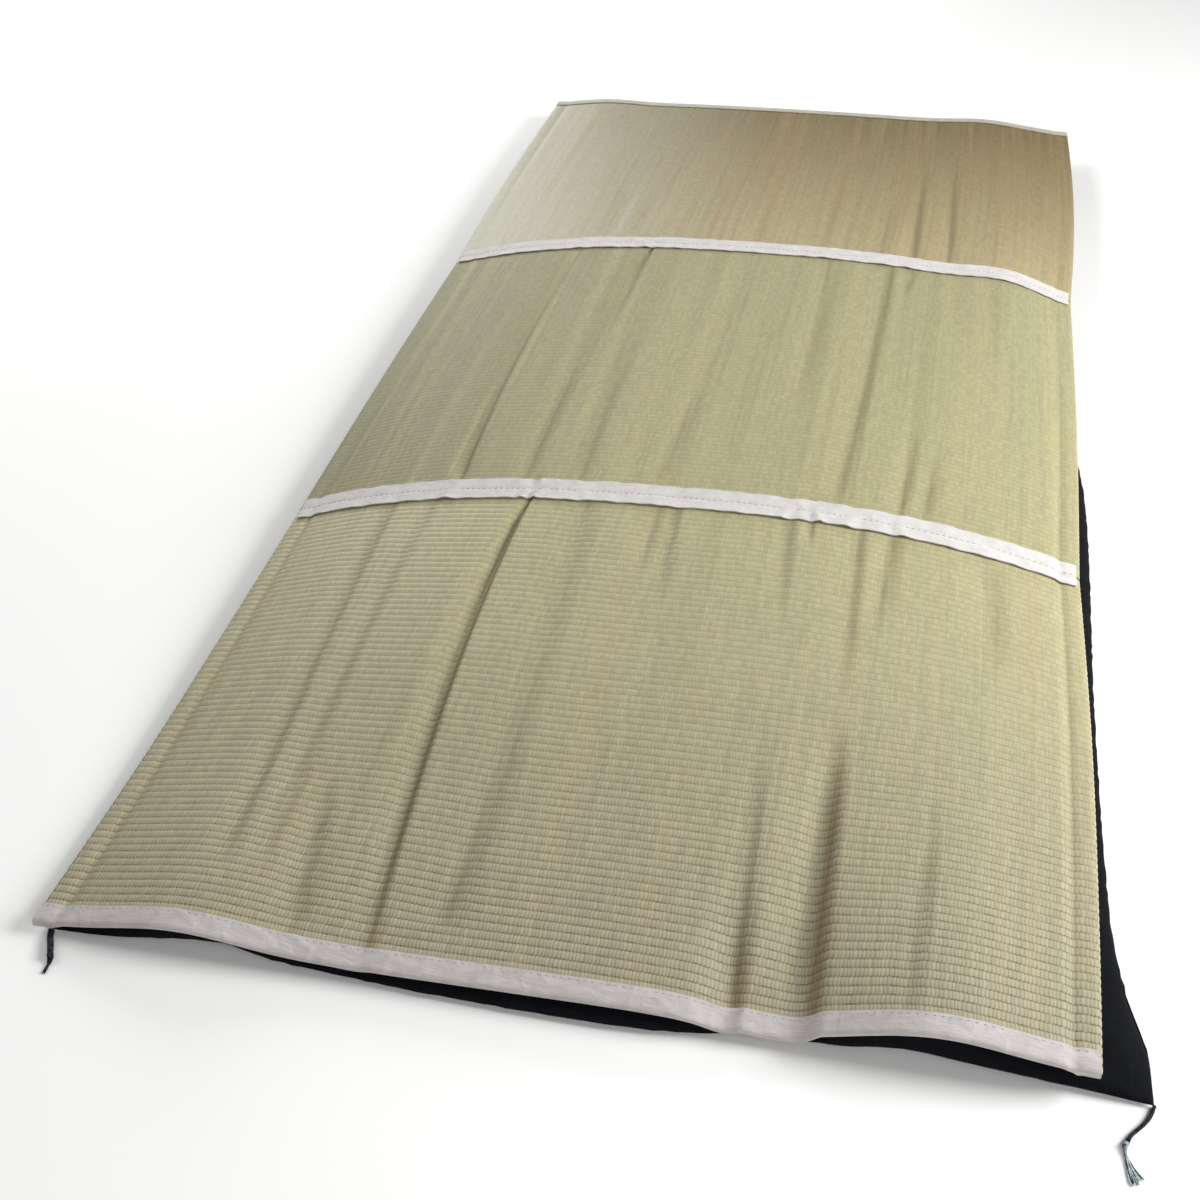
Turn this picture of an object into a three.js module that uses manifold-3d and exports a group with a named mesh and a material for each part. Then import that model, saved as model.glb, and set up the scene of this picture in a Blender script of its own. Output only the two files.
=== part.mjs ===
// A rush sleeping mat lying over a thin futon mattress.
// Three panels of ribbed rush matting are joined by two cotton tapes, so that the mat folds in three.
// A cotton binding closes its foot end and another its head end. The sides are hems of doubled rush.
// The mattress under it is crowned, so the mat arches across its width and lies in lengthwise folds.
// Millimetres. X runs across the mat, Y from its foot (-Y) to its head (+Y), Z up from the floor.
import * as THREE from "three";
import { mergeVertices } from "three/addons/utils/BufferGeometryUtils.js";
import Module from "manifold-3d";

const wasm = await Module();
wasm.setup();

// Driving dimensions of the mat
const MAT_END = { foot: -990, head: 995 };
const MAT_HALF_WIDTH = 447;
const WIDTH_TAKEN_BY_ARCH = 0.125;
const PANEL_SIDE_BULGE = {
  foot: { left: -2, right: 6 },
  middle: { left: 3, right: 3 },
  head: { left: 6, right: 8 },
};
const RUSH_THICK = 3;
const HEM_WIDTH = 18;
const HEM_THICK = 6;
const HEM_STEP = 3;
const HEM_GROOVE_DEPTH = 2.2;
const HEM_GROOVE_LEFT_AT_HEAD = 0.35;
const HEM_GROOVE_HALF_WIDTH = 5;
const HEM_GROOVE_END = 14;

// Tapes and bindings, of folded cotton cloth
const TAPE_Y = { foot: -350.5, head: 332.5 };
const TAPE_HALF_WIDTH = 19;
const TAPE_WEB_HALF_WIDTH = 1.2;
const TAPE_THICK = 1.2;
const TAPE_END_INSET = 3;
const BINDING_WIDTH = { foot: 19, head: 16 };
const CLOTH_GAP = 0.3;

// Driving dimensions of the mattress
const MATTRESS_MIDDLE_X = 29;
const MATTRESS_SEAM_SHARE = 0.4;
const MATTRESS_ROUNDING = 60;
const MATTRESS_FOOT_PRINT_INSET = 12;
const MATTRESS_CLEARANCE = 3;
const MATTRESS_HEM_ROOM = 60;
const EAR_TIP_HEIGHT = 3;
const EAR_REACH = 60;

// The mattress's seam, seen from above. Its sides and ends draw in between its pointed corners.
// The right side shows beside the mat near the foot, and runs under the mat towards the head.
const MATTRESS_SIDES = {
  left: [
    { y: -989, x: -432 }, { y: -940, x: -420 }, { y: -850, x: -404 }, { y: 0, x: -398 },
    { y: 850, x: -404 }, { y: 940, x: -418 }, { y: 990, x: -430 },
  ],
  right: [
    { y: -992, x: 490 }, { y: -950, x: 487 }, { y: -904, x: 474 }, { y: -824, x: 463 },
    { y: -540, x: 456 }, { y: -170, x: 455 }, { y: 60, x: 438 }, { y: 300, x: 438 },
    { y: 650, x: 420 }, { y: 930, x: 410 }, { y: 990, x: 424 },
  ],
};
const MATTRESS_ENDS = {
  foot: [
    { x: -432, y: -989 }, { x: -364, y: -987 }, { x: -283, y: -979 }, { x: -230, y: -987 },
    { x: -173, y: -991 }, { x: -94, y: -996 }, { x: 57, y: -999 }, { x: 120, y: -995 },
    { x: 190, y: -981 }, { x: 245, y: -985 }, { x: 300, y: -980 }, { x: 360, y: -985 },
    { x: 446, y: -989 }, { x: 490, y: -992 },
  ],
  head: [
    { x: -430, y: 990 }, { x: -360, y: 982 }, { x: 0, y: 981 }, { x: 360, y: 982 }, { x: 424, y: 990 },
  ],
};

// Mesh density
const FIELD_COLUMNS = 46;
const FIELD_ROWS = 5;
const FOOT_ROW_SPACING = 45;
const FOLD_WIDTH_MIN = 12;
const SAME_PLACE = 1e-4;

// Height of the rush's top face above the floor, at stations along the mat:
// its left side, its right side, and how far the middle arches above them.
const STATIONS = [
  { y: -990, left: 11, right: 28, arch: 0 },
  { y: -800, left: 13, right: 30, arch: 24 },
  { y: -600, left: 20, right: 38, arch: 46 },
  { y: -350, left: 26, right: 44, arch: 60 },
  { y: 0, left: 31, right: 43, arch: 58 },
  { y: 333, left: 36, right: 38, arch: 48 },
  { y: 700, left: 38, right: 36, arch: 28 },
  { y: 995, left: 40, right: 36, arch: 12 },
];
const ARCH_POWER = 2.6;

// Swellings that lift the mat at its ends and beside the head tape, and the dip between the two at the foot.
const SWELLINGS = [
  { x: -315, y: -990, height: 17, halfWidth: 80, halfLength: 190 },
  { x: 182, y: -990, height: -11, halfWidth: 60, halfLength: 120 },
  { x: 325, y: -990, height: 19, halfWidth: 80, halfLength: 230 },
  { x: 352, y: 345, height: 11, halfWidth: 60, halfLength: 230 },
  { x: 310, y: 995, height: 7, halfWidth: 70, halfLength: 200 },
  { x: -350, y: 995, height: 5, halfWidth: 60, halfLength: 200 },
];

// Lengthwise folds of the rush. Each runs from its foot end to its head end, bowing sideways midway.
// Depths and half-widths are across the fold; a fade is the length over which an end dies away.
const FOLD_COLUMNS = [
  "footX", "footY", "headX", "headY", "bow",
  "footDepth", "midDepth", "headDepth", "footHalf", "headHalf", "footFade", "headFade",
];
const FOLD_ROWS = [
  // foot panel
  [-153, -995, -155, -330, -13, 2, 5, 6, 13, 5, 0, 30],
  [156, -995, 142, -660, 0, 7, 2, 1, 15, 12, 0, 160],
  [215, -995, 209, -600, 0, 10, 8, 1, 20, 15, 0, 180],
  [209, -660, 203, -330, 0, 1, 2, 3, 14, 12, 120, 40],
  [136, -560, 127, -330, 0, 1, 2, 3, 14, 13, 120, 30],
  [156, -430, 153, -320, 0, 1, 2, 3, 6, 5, 60, 20],
  [-303, -930, -316, -335, -6, 2, 2, 3, 11, 8, 60, 30],
  [-268, -930, -266, -335, -10, 2, 2, 2, 11, 10, 60, 30],
  [-101, -960, -95, -335, 10, 3, 2, 3, 18, 15, 40, 30],
  [-11, -520, -13, -335, 0, 1, 2, 2, 8, 8, 90, 30],
  [16, -560, 7, -335, 0, 1, 2, 3, 9, 8, 100, 30],
  [297, -985, 306, -690, 0, 2, 2, 1, 8, 9, 20, 160],
  [352, -600, 338, -335, 0, 1, 2, 2, 13, 12, 120, 30],
  [233, -560, 241, -335, 0, 1, 2, 3, 9, 8, 100, 30],
  [-222, -985, -250, -740, 0, 3, 3, 1, 15, 13, 20, 120],
  // middle panel
  [-249, -345, -252, 325, -10, 4, 3, 2, 8, 9, 20, 60],
  [-175, -345, -175, 40, 0, 2, 2, 1, 11, 9, 20, 180],
  [-156, 20, -148, 340, 0, 1, 2, 5, 9, 6, 150, 20],
  [-112, -345, -114, 40, -2, 2, 2, 1, 11, 10, 20, 180],
  [-29, -345, -12, -30, 0, 2, 2, 1, 16, 15, 20, 180],
  [104, -180, 103, 325, 4, 1, 2, 2, 10, 9, 150, 20],
  [171, -345, 189, 325, 4, 2, 2, 3, 12, 11, 20, 20],
  [242, -345, 250, -60, 2, 3, 2, 1, 9, 9, 20, 180],
  [268, -345, 279, -140, 0, 2, 2, 1, 9, 8, 20, 140],
  [210, 190, 225, 330, 0, 1, 2, 2, 9, 8, 100, 20],
  // head panel
  [-215, 335, -222, 620, 0, 3, 2, 1, 16, 16, 20, 160],
  [-175, 335, -180, 600, 0, 3, 2, 1, 14, 14, 20, 160],
  [-63, 335, -61, 620, 0, 2, 2, 1, 9, 10, 20, 200],
  [168, 335, 174, 640, 0, 3, 2, 1, 14, 14, 20, 200],
  [219, 335, 214, 760, 0, 4, 3, 1, 10, 10, 20, 200],
  [268, 335, 263, 840, 0, 3, 3, 1, 9, 9, 20, 200],
];
const FOLDS = FOLD_ROWS.map((row) =>
  Object.fromEntries(FOLD_COLUMNS.map((column, i) => [column, row[i]])),
);

// A stitched strip keeps the folds shallower, and even in depth across its own width.
const STRIPS = [
  { y: TAPE_Y.foot, halfWidth: TAPE_HALF_WIDTH, held: 0.6 },
  { y: TAPE_Y.head, halfWidth: TAPE_HALF_WIDTH, held: 0.6 },
  { y: MAT_END.foot, halfWidth: BINDING_WIDTH.foot, held: 0.45 },
  { y: MAT_END.head, halfWidth: BINDING_WIDTH.head, held: 0.2 },
];
const STRIP_EASE = 30;

// The lowest the rush's top face may lie, with the binding's under layer still above the floor.
const LOWEST_TOP = 5.2;
const FLOOR_SOFTNESS = 4;

// Tassels: each cord's route over the floor from the mattress's corner, then a head and strands.
const TASSEL_HEAD_RADIUS = 3;
const TASSEL_HEAD_LENGTH = 9;
const STRAND_HALF_THICKS = [0.75, 0.62, 0.82, 0.68];
const STRAND_BEND_SHARE = 0.22;
const STRAND_SIDES = 4;
const STRAND_STEPS = 3;
const CORD_SIDES = 8;
const CORD_STEPS = 9;
const HEAD_CAP_STEPS = 3;
const TASSELS = [
  {
    name: "tassel_right",
    route: [
      [490, -992.8], [488.6, -997.7], [485.7, -1004.3], [481.2, -1010.9], [476.1, -1016.8],
      [472, -1022], [470.2, -1025.7],
    ],
    cordRadius: 2.2,
    strands: { count: 9, length: 30, spread: 0.26, turn: 0.62 },
  },
  {
    name: "tassel_left",
    route: [[-432, -990], [-429, -998.3], [-424.7, -1006.3], [-421.3, -1013]],
    cordRadius: 2.5,
    strands: { count: 6, length: 16, spread: 0.32, turn: -0.34 },
  },
];

const RUSH = new THREE.MeshStandardMaterial({ color: 0xbdb58c, roughness: 0.72, metalness: 0 });
const COTTON_TAPE = new THREE.MeshStandardMaterial({ color: 0xd6d2cc, roughness: 0.9, metalness: 0 });
const MATTRESS_COTTON = new THREE.MeshStandardMaterial({ color: 0x1a1d22, roughness: 0.85, metalness: 0 });
const TASSEL_YARN = new THREE.MeshStandardMaterial({ color: 0x222831, roughness: 0.8, metalness: 0 });

const lerp = THREE.MathUtils.lerp;
const clamp = THREE.MathUtils.clamp;
const smoothstep = THREE.MathUtils.smoothstep;
const bell = (distance) => Math.exp(-distance * distance);

// A smooth curve through the rows of a table: the value of one column, given the one it runs along
// (cubic Hermite).
function smoothThrough(rows, along, place, column) {
  const last = rows.length - 1;
  let i = 0;
  while (i < last - 1 && place > rows[i + 1][along]) i += 1;
  const slopeAt = (k) => {
    const before = rows[Math.max(k - 1, 0)];
    const after = rows[Math.min(k + 1, last)];
    return (after[column] - before[column]) / (after[along] - before[along]);
  };
  const span = rows[i + 1][along] - rows[i][along];
  const t = clamp((place - rows[i][along]) / span, 0, 1);
  const t2 = t * t;
  const t3 = t2 * t;
  return (
    (2 * t3 - 3 * t2 + 1) * rows[i][column] +
    (t3 - 2 * t2 + t) * span * slopeAt(i) +
    (3 * t2 - 2 * t3) * rows[i + 1][column] +
    (t3 - t2) * span * slopeAt(i + 1)
  );
}
const alongStations = (y, column) => smoothThrough(STATIONS, "y", y, column);

// How far one of the mat's sides lies from its middle line, side being "left" or "right".
// The arch takes up width, and a tape holds the sides in where a panel bulges a little.
function matHalfWidth(y, side) {
  const panels = [
    { from: MAT_END.foot, to: TAPE_Y.foot, bulge: PANEL_SIDE_BULGE.foot },
    { from: TAPE_Y.foot, to: TAPE_Y.head, bulge: PANEL_SIDE_BULGE.middle },
    { from: TAPE_Y.head, to: MAT_END.head, bulge: PANEL_SIDE_BULGE.head },
  ];
  const { from, to, bulge } = panels.find((panel) => y <= panel.to) ?? panels.at(-1);
  const share = clamp((y - from) / (to - from), 0, 1);
  const bulged = bulge[side] * Math.sin(Math.PI * share);
  return MAT_HALF_WIDTH - WIDTH_TAKEN_BY_ARCH * alongStations(y, "arch") + bulged;
}
const sideOf = (x) => (x < 0 ? "left" : "right");
const matX = (share, y) => share * matHalfWidth(y, sideOf(share));

// A valley 1 deep: a long soft left flank, and a right flank that steepens up to a crisp ridge.
const FOLD_LEAN = 0.3;
const RIDGE_AT = 1.25;
const RIDGE_SOFTNESS = 0.12;
function valleyShare(across) {
  if (across < 0) return bell(across);
  const climb = 1 - (across / RIDGE_AT) ** 2;
  return (climb + Math.hypot(climb, RIDGE_SOFTNESS)) / (1 + Math.hypot(1, RIDGE_SOFTNESS));
}

// How deep one fold is at a point. The cloth rises a little at the shoulders beside its valley.
const SHOULDER_RISE = 0.3;
const SHOULDER_SPREAD = 2.2;
function foldDepth(fold, x, y) {
  const share = (y - fold.footY) / (fold.headY - fold.footY);
  if (share <= 0 || share >= 1) return 0;
  const line = lerp(fold.footX, fold.headX, share) + fold.bow * 4 * share * (1 - share);
  const lean = x > line ? 1 - FOLD_LEAN : 1 + FOLD_LEAN;
  const half = lean * Math.max(lerp(fold.footHalf, fold.headHalf, share), FOLD_WIDTH_MIN);
  const depth =
    share < 0.5
      ? lerp(fold.footDepth, fold.midDepth, smoothstep(share, 0, 0.5))
      : lerp(fold.midDepth, fold.headDepth, smoothstep(share, 0.5, 1));
  const starts = fold.footFade ? smoothstep(y, fold.footY, fold.footY + fold.footFade) : 1;
  const ends = fold.headFade ? 1 - smoothstep(y, fold.headY - fold.headFade, fold.headY) : 1;
  const across = (x - line) / half;
  const valley = (1 + SHOULDER_RISE) * valleyShare(across);
  const shoulders = SHOULDER_RISE * bell(across / SHOULDER_SPREAD);
  return depth * starts * ends * (valley - shoulders);
}

function folds(x, y) {
  let kept = 1;
  let foldY = y;
  for (const strip of STRIPS) {
    const fromMiddle = y - strip.y;
    const within = clamp(fromMiddle, -strip.halfWidth, strip.halfWidth);
    const near = bell((fromMiddle - within) / STRIP_EASE);
    kept *= 1 - strip.held * near;
    foldY -= within * near;
  }
  return kept * FOLDS.reduce((sum, fold) => sum + foldDepth(fold, x, foldY), 0);
}

// The arch and the swellings, without folds.
function broadForm(x, y) {
  const across = x / matHalfWidth(y, sideOf(x));
  const sides = lerp(alongStations(y, "left"), alongStations(y, "right"), (across + 1) / 2);
  const arch = alongStations(y, "arch") * (1 - Math.min(Math.abs(across), 1) ** ARCH_POWER);
  const lifted = SWELLINGS.reduce(
    (sum, s) => sum + s.height * bell((x - s.x) / s.halfWidth) * bell((y - s.y) / s.halfLength),
    0,
  );
  return sides + arch + lifted;
}

// Height of the rush's top face.
function rushTop(x, y) {
  const fromSide = matHalfWidth(y, sideOf(x)) - Math.abs(x);
  const grooveLeft = lerp(1, HEM_GROOVE_LEFT_AT_HEAD, smoothstep(y, TAPE_Y.foot, TAPE_Y.head));
  const grooveShape = bell((fromSide - HEM_WIDTH - HEM_STEP) / HEM_GROOVE_HALF_WIDTH);
  const groove = HEM_GROOVE_DEPTH * grooveLeft * grooveShape;
  const lowest = LOWEST_TOP + (fromSide < HEM_WIDTH + HEM_STEP / 2 ? HEM_THICK - RUSH_THICK : 0);
  const above = broadForm(x, y) - folds(x, y) - groove - lowest;
  return lowest + 0.5 * (above + Math.hypot(above, FLOOR_SOFTNESS));
}

// Columns across the mat, as distances from the left side on a mat of full width.
// The hem has its own columns, with a step in thickness between two of them.
const HEM_COLUMNS = [
  0,
  TAPE_END_INSET,
  HEM_WIDTH,
  HEM_WIDTH + HEM_STEP,
  HEM_WIDTH + HEM_GROOVE_END / 2,
  HEM_WIDTH + HEM_GROOVE_END,
];
function matColumns() {
  const width = 2 * MAT_HALF_WIDTH;
  const fieldStart = HEM_COLUMNS.at(-1);
  const fieldWidth = width - 2 * fieldStart;
  const field = Array.from(
    { length: FIELD_COLUMNS - 1 },
    (_, i) => fieldStart + (fieldWidth * (i + 1)) / FIELD_COLUMNS,
  );
  const rightHem = HEM_COLUMNS.map((d) => width - d).reverse();
  return [...HEM_COLUMNS, ...field, ...rightHem].map((d) => {
    const fromSide = Math.min(d, width - d);
    return {
      share: (d - MAT_HALF_WIDTH) / MAT_HALF_WIDTH,
      thick: fromSide <= HEM_WIDTH ? HEM_THICK : RUSH_THICK,
    };
  });
}
const COLUMNS = matColumns();

// A box of unit cells whose corner vertices are moved by place(column, row, upper).
// The box lies on its other face, so that its cells are cut along the same diagonals as a strip's.
function drapedSlab(columns, rows, place) {
  const geometry = new THREE.BoxGeometry(1, 1, 1, rows, columns, 1);
  geometry.deleteAttribute("normal");
  geometry.deleteAttribute("uv");
  const position = geometry.attributes.position;
  for (let i = 0; i < position.count; i += 1) {
    const column = Math.round((position.getY(i) + 0.5) * columns);
    const row = Math.round((position.getX(i) + 0.5) * rows);
    const point = place(column, row, position.getZ(i) < 0);
    position.setXYZ(i, point.x, point.y, point.z);
  }
  return mergeVertices(geometry, SAME_PLACE);
}

// A strip of constant section across the mat: section points move as place(column, point) says.
function drapedStrip(section, columns, place) {
  const shape = new THREE.Shape(section.map((point) => new THREE.Vector2(point.y, point.z)));
  const geometry = new THREE.ExtrudeGeometry(shape, {
    depth: columns,
    steps: columns,
    bevelEnabled: false,
  });
  geometry.deleteAttribute("normal");
  geometry.deleteAttribute("uv");
  const position = geometry.attributes.position;
  for (let i = 0; i < position.count; i += 1) {
    const column = Math.round(position.getZ(i));
    const point = place(column, { y: position.getX(i), z: position.getY(i) });
    position.setXYZ(i, point.x, point.y, point.z);
  }
  return mergeVertices(geometry, SAME_PLACE);
}

// Rows along a panel: its two ends, the edges of the strips that hold it, even rows between, and
// one more beside the mat's foot, where the folds are deepest.
function panelRows(footEnd, headEnd, footStripEdge, headStripEdge) {
  const between = Array.from({ length: FIELD_ROWS + 1 }, (_, i) =>
    lerp(footStripEdge, headStripEdge, i / FIELD_ROWS),
  );
  if (footEnd === MAT_END.foot) between.splice(1, 0, footStripEdge + FOOT_ROW_SPACING);
  return [footEnd, ...between, headEnd];
}

const WEB_CLEAR = TAPE_WEB_HALF_WIDTH + CLOTH_GAP;
const PANELS = {
  foot: panelRows(
    MAT_END.foot,
    TAPE_Y.foot - WEB_CLEAR,
    MAT_END.foot + BINDING_WIDTH.foot,
    TAPE_Y.foot - TAPE_HALF_WIDTH,
  ),
  middle: panelRows(
    TAPE_Y.foot + WEB_CLEAR,
    TAPE_Y.head - WEB_CLEAR,
    TAPE_Y.foot + TAPE_HALF_WIDTH,
    TAPE_Y.head - TAPE_HALF_WIDTH,
  ),
  head: panelRows(
    TAPE_Y.head + WEB_CLEAR,
    MAT_END.head,
    TAPE_Y.head + TAPE_HALF_WIDTH,
    MAT_END.head - BINDING_WIDTH.head,
  ),
};

// One panel of rush, thicker along its side hems.
function rushPanel(rows) {
  return drapedSlab(COLUMNS.length - 1, rows.length - 1, (column, row, upper) => {
    const y = rows[row];
    const x = matX(COLUMNS[column].share, y);
    const z = rushTop(x, y) - (upper ? 0 : COLUMNS[column].thick);
    return { x, y, z };
  });
}

// Places a strip's section on the rush. A point's z says which face it lies off, and by how much:
// above 0 it is over the top face, below 0 under the bottom face.
function strapOnRush(columns, centreY, rushRows) {
  return (column, point) => {
    const { share, thick } = columns[column];
    const rowY = centreY + point.y;
    const y = clamp(rowY, rushRows.min, rushRows.max);
    const x = matX(share, y);
    const z = point.z > 0 ? rushTop(x, y) + point.z : rushTop(x, y) - thick + point.z;
    return { x, y: rowY, z };
  };
}

// A tape over and under two panels' ends, with the stitched web between them.
function jointTape(centreY) {
  const near = CLOTH_GAP;
  const far = CLOTH_GAP + TAPE_THICK;
  const edge = TAPE_HALF_WIDTH;
  const web = TAPE_WEB_HALF_WIDTH;
  const section = [
    { y: -edge, z: -far }, { y: 0, z: -far }, { y: edge, z: -far },
    { y: edge, z: -near }, { y: web, z: -near }, { y: web, z: near }, { y: edge, z: near },
    { y: edge, z: far }, { y: 0, z: far }, { y: -edge, z: far },
    { y: -edge, z: near }, { y: -web, z: near }, { y: -web, z: -near }, { y: -edge, z: -near },
  ];
  const columns = COLUMNS.slice(1, -1);
  const place = strapOnRush(columns, centreY, { min: -Infinity, max: Infinity });
  return drapedStrip(section, columns.length - 1, place);
}

// A binding folded round the mat's foot or head end.
function endBinding(end) {
  const outward = Math.sign(MAT_END[end]);
  const near = CLOTH_GAP;
  const far = CLOTH_GAP + TAPE_THICK;
  const inner = -outward * BINDING_WIDTH[end];
  const wall = outward * CLOTH_GAP;
  const outer = outward * (CLOTH_GAP + TAPE_THICK);
  const section = [
    { y: inner, z: -far }, { y: outer, z: -far }, { y: outer, z: far }, { y: inner, z: far },
    { y: inner, z: near }, { y: wall, z: near }, { y: wall, z: -near }, { y: inner, z: -near },
  ];
  const place = strapOnRush(COLUMNS, MAT_END[end], { min: MAT_END.foot, max: MAT_END.head });
  return drapedStrip(section, COLUMNS.length - 1, place);
}

const mattressSideX = (side, y) => smoothThrough(MATTRESS_SIDES[side], "y", y, "x");
const mattressEndY = (end, x) => smoothThrough(MATTRESS_ENDS[end], "x", x, "y");

// How full the mattress is a distance in from its seam: a quarter of an ellipse, then flat.
function fullness(inset) {
  const share = clamp(inset / MATTRESS_ROUNDING, 0, 1);
  return Math.sqrt(1 - (1 - share) ** 2);
}

// The underside of the mat, less the clearance: what the mattress fills.
function mattressCeiling(x, y) {
  const half = matHalfWidth(y, sideOf(x));
  const inside = clamp(x, -half, half);
  const hem = half - Math.abs(inside) < HEM_WIDTH + MATTRESS_HEM_ROOM ? HEM_THICK : RUSH_THICK;
  return rushTop(inside, clamp(y, MAT_END.foot, MAT_END.head)) - hem - MATTRESS_CLEARANCE;
}

// How close a place is to one of the mattress's corners: 1 at its tip.
function nearCorner(x, y) {
  const corners = Object.values(MATTRESS_ENDS).flatMap((seam) => [seam.at(0), seam.at(-1)]);
  return Math.max(...corners.map((tip) => bell(Math.hypot(x - tip.x, y - tip.y) / EAR_REACH)));
}

const RIM_INSETS = [0, 4, 12, 28];
const RIM_ROOM = 45;

// The mattress's top. Columns and rows in its middle are the mat's own, so that the two lie evenly
// apart, and those near its seam follow the seam.
function mattressGrid() {
  const innerColumns = COLUMNS.map((column) => column.share).filter((share) => {
    const x = share * MAT_HALF_WIDTH;
    return x > mattressSideX("left", 0) + RIM_ROOM && x < mattressSideX("right", 0) - RIM_ROOM;
  });
  const matRows = [...PANELS.foot.slice(0, -1), TAPE_Y.foot, ...PANELS.middle.slice(1, -1)];
  matRows.push(TAPE_Y.head, ...PANELS.head.slice(1));
  const innerRows = matRows.filter(
    (y) => y > mattressEndY("foot", 0) + RIM_ROOM && y < mattressEndY("head", 0) - RIM_ROOM,
  );
  const columns = [
    ...RIM_INSETS.map((inset) => ({ side: "left", inset })),
    ...innerColumns.map((share) => ({ share })),
    ...RIM_INSETS.map((inset) => ({ side: "right", inset: -inset })).reverse(),
  ];
  const rows = [
    ...RIM_INSETS.map((inset) => ({ end: "foot", inset })),
    ...innerRows.map((y) => ({ y })),
    ...RIM_INSETS.map((inset) => ({ end: "head", inset: -inset })).reverse(),
  ];
  return rows.map((row) => columns.map((column) => mattressPoint(column, row)));
}

function mattressPoint(column, row) {
  const nearY = row.end ? mattressEndY(row.end, 0) + row.inset : row.y;
  const x = column.side
    ? mattressSideX(column.side, nearY) + column.inset
    : matX(column.share, nearY);
  const y = row.end ? mattressEndY(row.end, x) + row.inset : row.y;
  const fromSide = Math.min(x - mattressSideX("left", y), mattressSideX("right", y) - x);
  const fromEnd = Math.min(y - mattressEndY("foot", x), mattressEndY("head", x) - y);
  const full = fullness(fromSide) * fullness(fromEnd);
  const ceiling = mattressCeiling(x, y);
  const seam = lerp(ceiling * MATTRESS_SEAM_SHARE, EAR_TIP_HEIGHT, nearCorner(x, y));
  return new THREE.Vector3(x, y, lerp(Math.min(seam, ceiling), ceiling, full));
}

// The mattress: its top grid, a rim down to the print of its flat bottom, and that bottom.
function mattress() {
  const grid = mattressGrid();
  const rows = grid.length;
  const columns = grid[0].length;
  const points = grid.flat();
  const at = (row, column) => row * columns + column;
  const faces = [];
  const quad = (a, b, c, d) => faces.push(a, b, c, a, c, d);
  for (let row = 0; row < rows - 1; row += 1) {
    for (let column = 0; column < columns - 1; column += 1) {
      quad(at(row, column), at(row, column + 1), at(row + 1, column + 1), at(row + 1, column));
    }
  }
  let loop = [
    ...Array.from({ length: columns - 1 }, (_, i) => at(0, i)),
    ...Array.from({ length: rows - 1 }, (_, i) => at(i, columns - 1)),
    ...Array.from({ length: columns - 1 }, (_, i) => at(rows - 1, columns - 1 - i)),
    ...Array.from({ length: rows - 1 }, (_, i) => at(rows - 1 - i, 0)),
  ];
  const middle = new THREE.Vector3(MATTRESS_MIDDLE_X, 0, 0);
  const seam = loop.map((i) => points[i].clone());
  const rimSteps = [{ inset: 0.35, height: 0.35 }, { inset: 1, height: 0 }];
  for (const step of rimSteps) {
    const ring = seam.map((point) => {
      const inset = step.inset * MATTRESS_FOOT_PRINT_INSET;
      const x = point.x - clamp(point.x - middle.x, -inset, inset);
      const y = point.y - clamp(point.y, -inset, inset);
      return points.push(new THREE.Vector3(x, y, point.z * step.height)) - 1;
    });
    ring.forEach((_, i) => {
      const next = (i + 1) % ring.length;
      quad(ring[i], ring[next], loop[next], loop[i]);
    });
    loop = ring;
  }
  const centre = points.push(middle) - 1;
  loop.forEach((_, i) => faces.push(centre, loop[(i + 1) % loop.length], loop[i]));
  const geometry = new THREE.BufferGeometry().setFromPoints(points);
  geometry.setIndex(faces);
  return geometry;
}

// Joins closed geometries into one body.
function joined(geometries) {
  const solids = geometries.map((geometry) => {
    const plain = geometry.clone();
    plain.deleteAttribute("normal");
    plain.deleteAttribute("uv");
    const merged = mergeVertices(plain, SAME_PLACE);
    return new wasm.Manifold(
      new wasm.Mesh({
        numProp: 3,
        vertProperties: new Float32Array(merged.attributes.position.array),
        triVerts: new Uint32Array(merged.index.array),
      }),
    );
  });
  const mesh = solids.reduce((all, solid) => all.add(solid)).getMesh();
  const geometry = new THREE.BufferGeometry();
  geometry.setAttribute("position", new THREE.BufferAttribute(mesh.vertProperties, 3));
  geometry.setIndex(new THREE.BufferAttribute(mesh.triVerts, 1));
  return geometry;
}

// A bar of regular section along a level curve.
function barAlong(curve, radius, sides, steps) {
  const corners = Array.from({ length: sides }, (_, i) => {
    const angle = ((i + 0.5) / sides) * 2 * Math.PI;
    return new THREE.Vector2(radius * Math.cos(angle), radius * Math.sin(angle));
  });
  return new THREE.ExtrudeGeometry(new THREE.Shape(corners), {
    extrudePath: curve,
    steps,
    bevelEnabled: false,
  });
}

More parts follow.
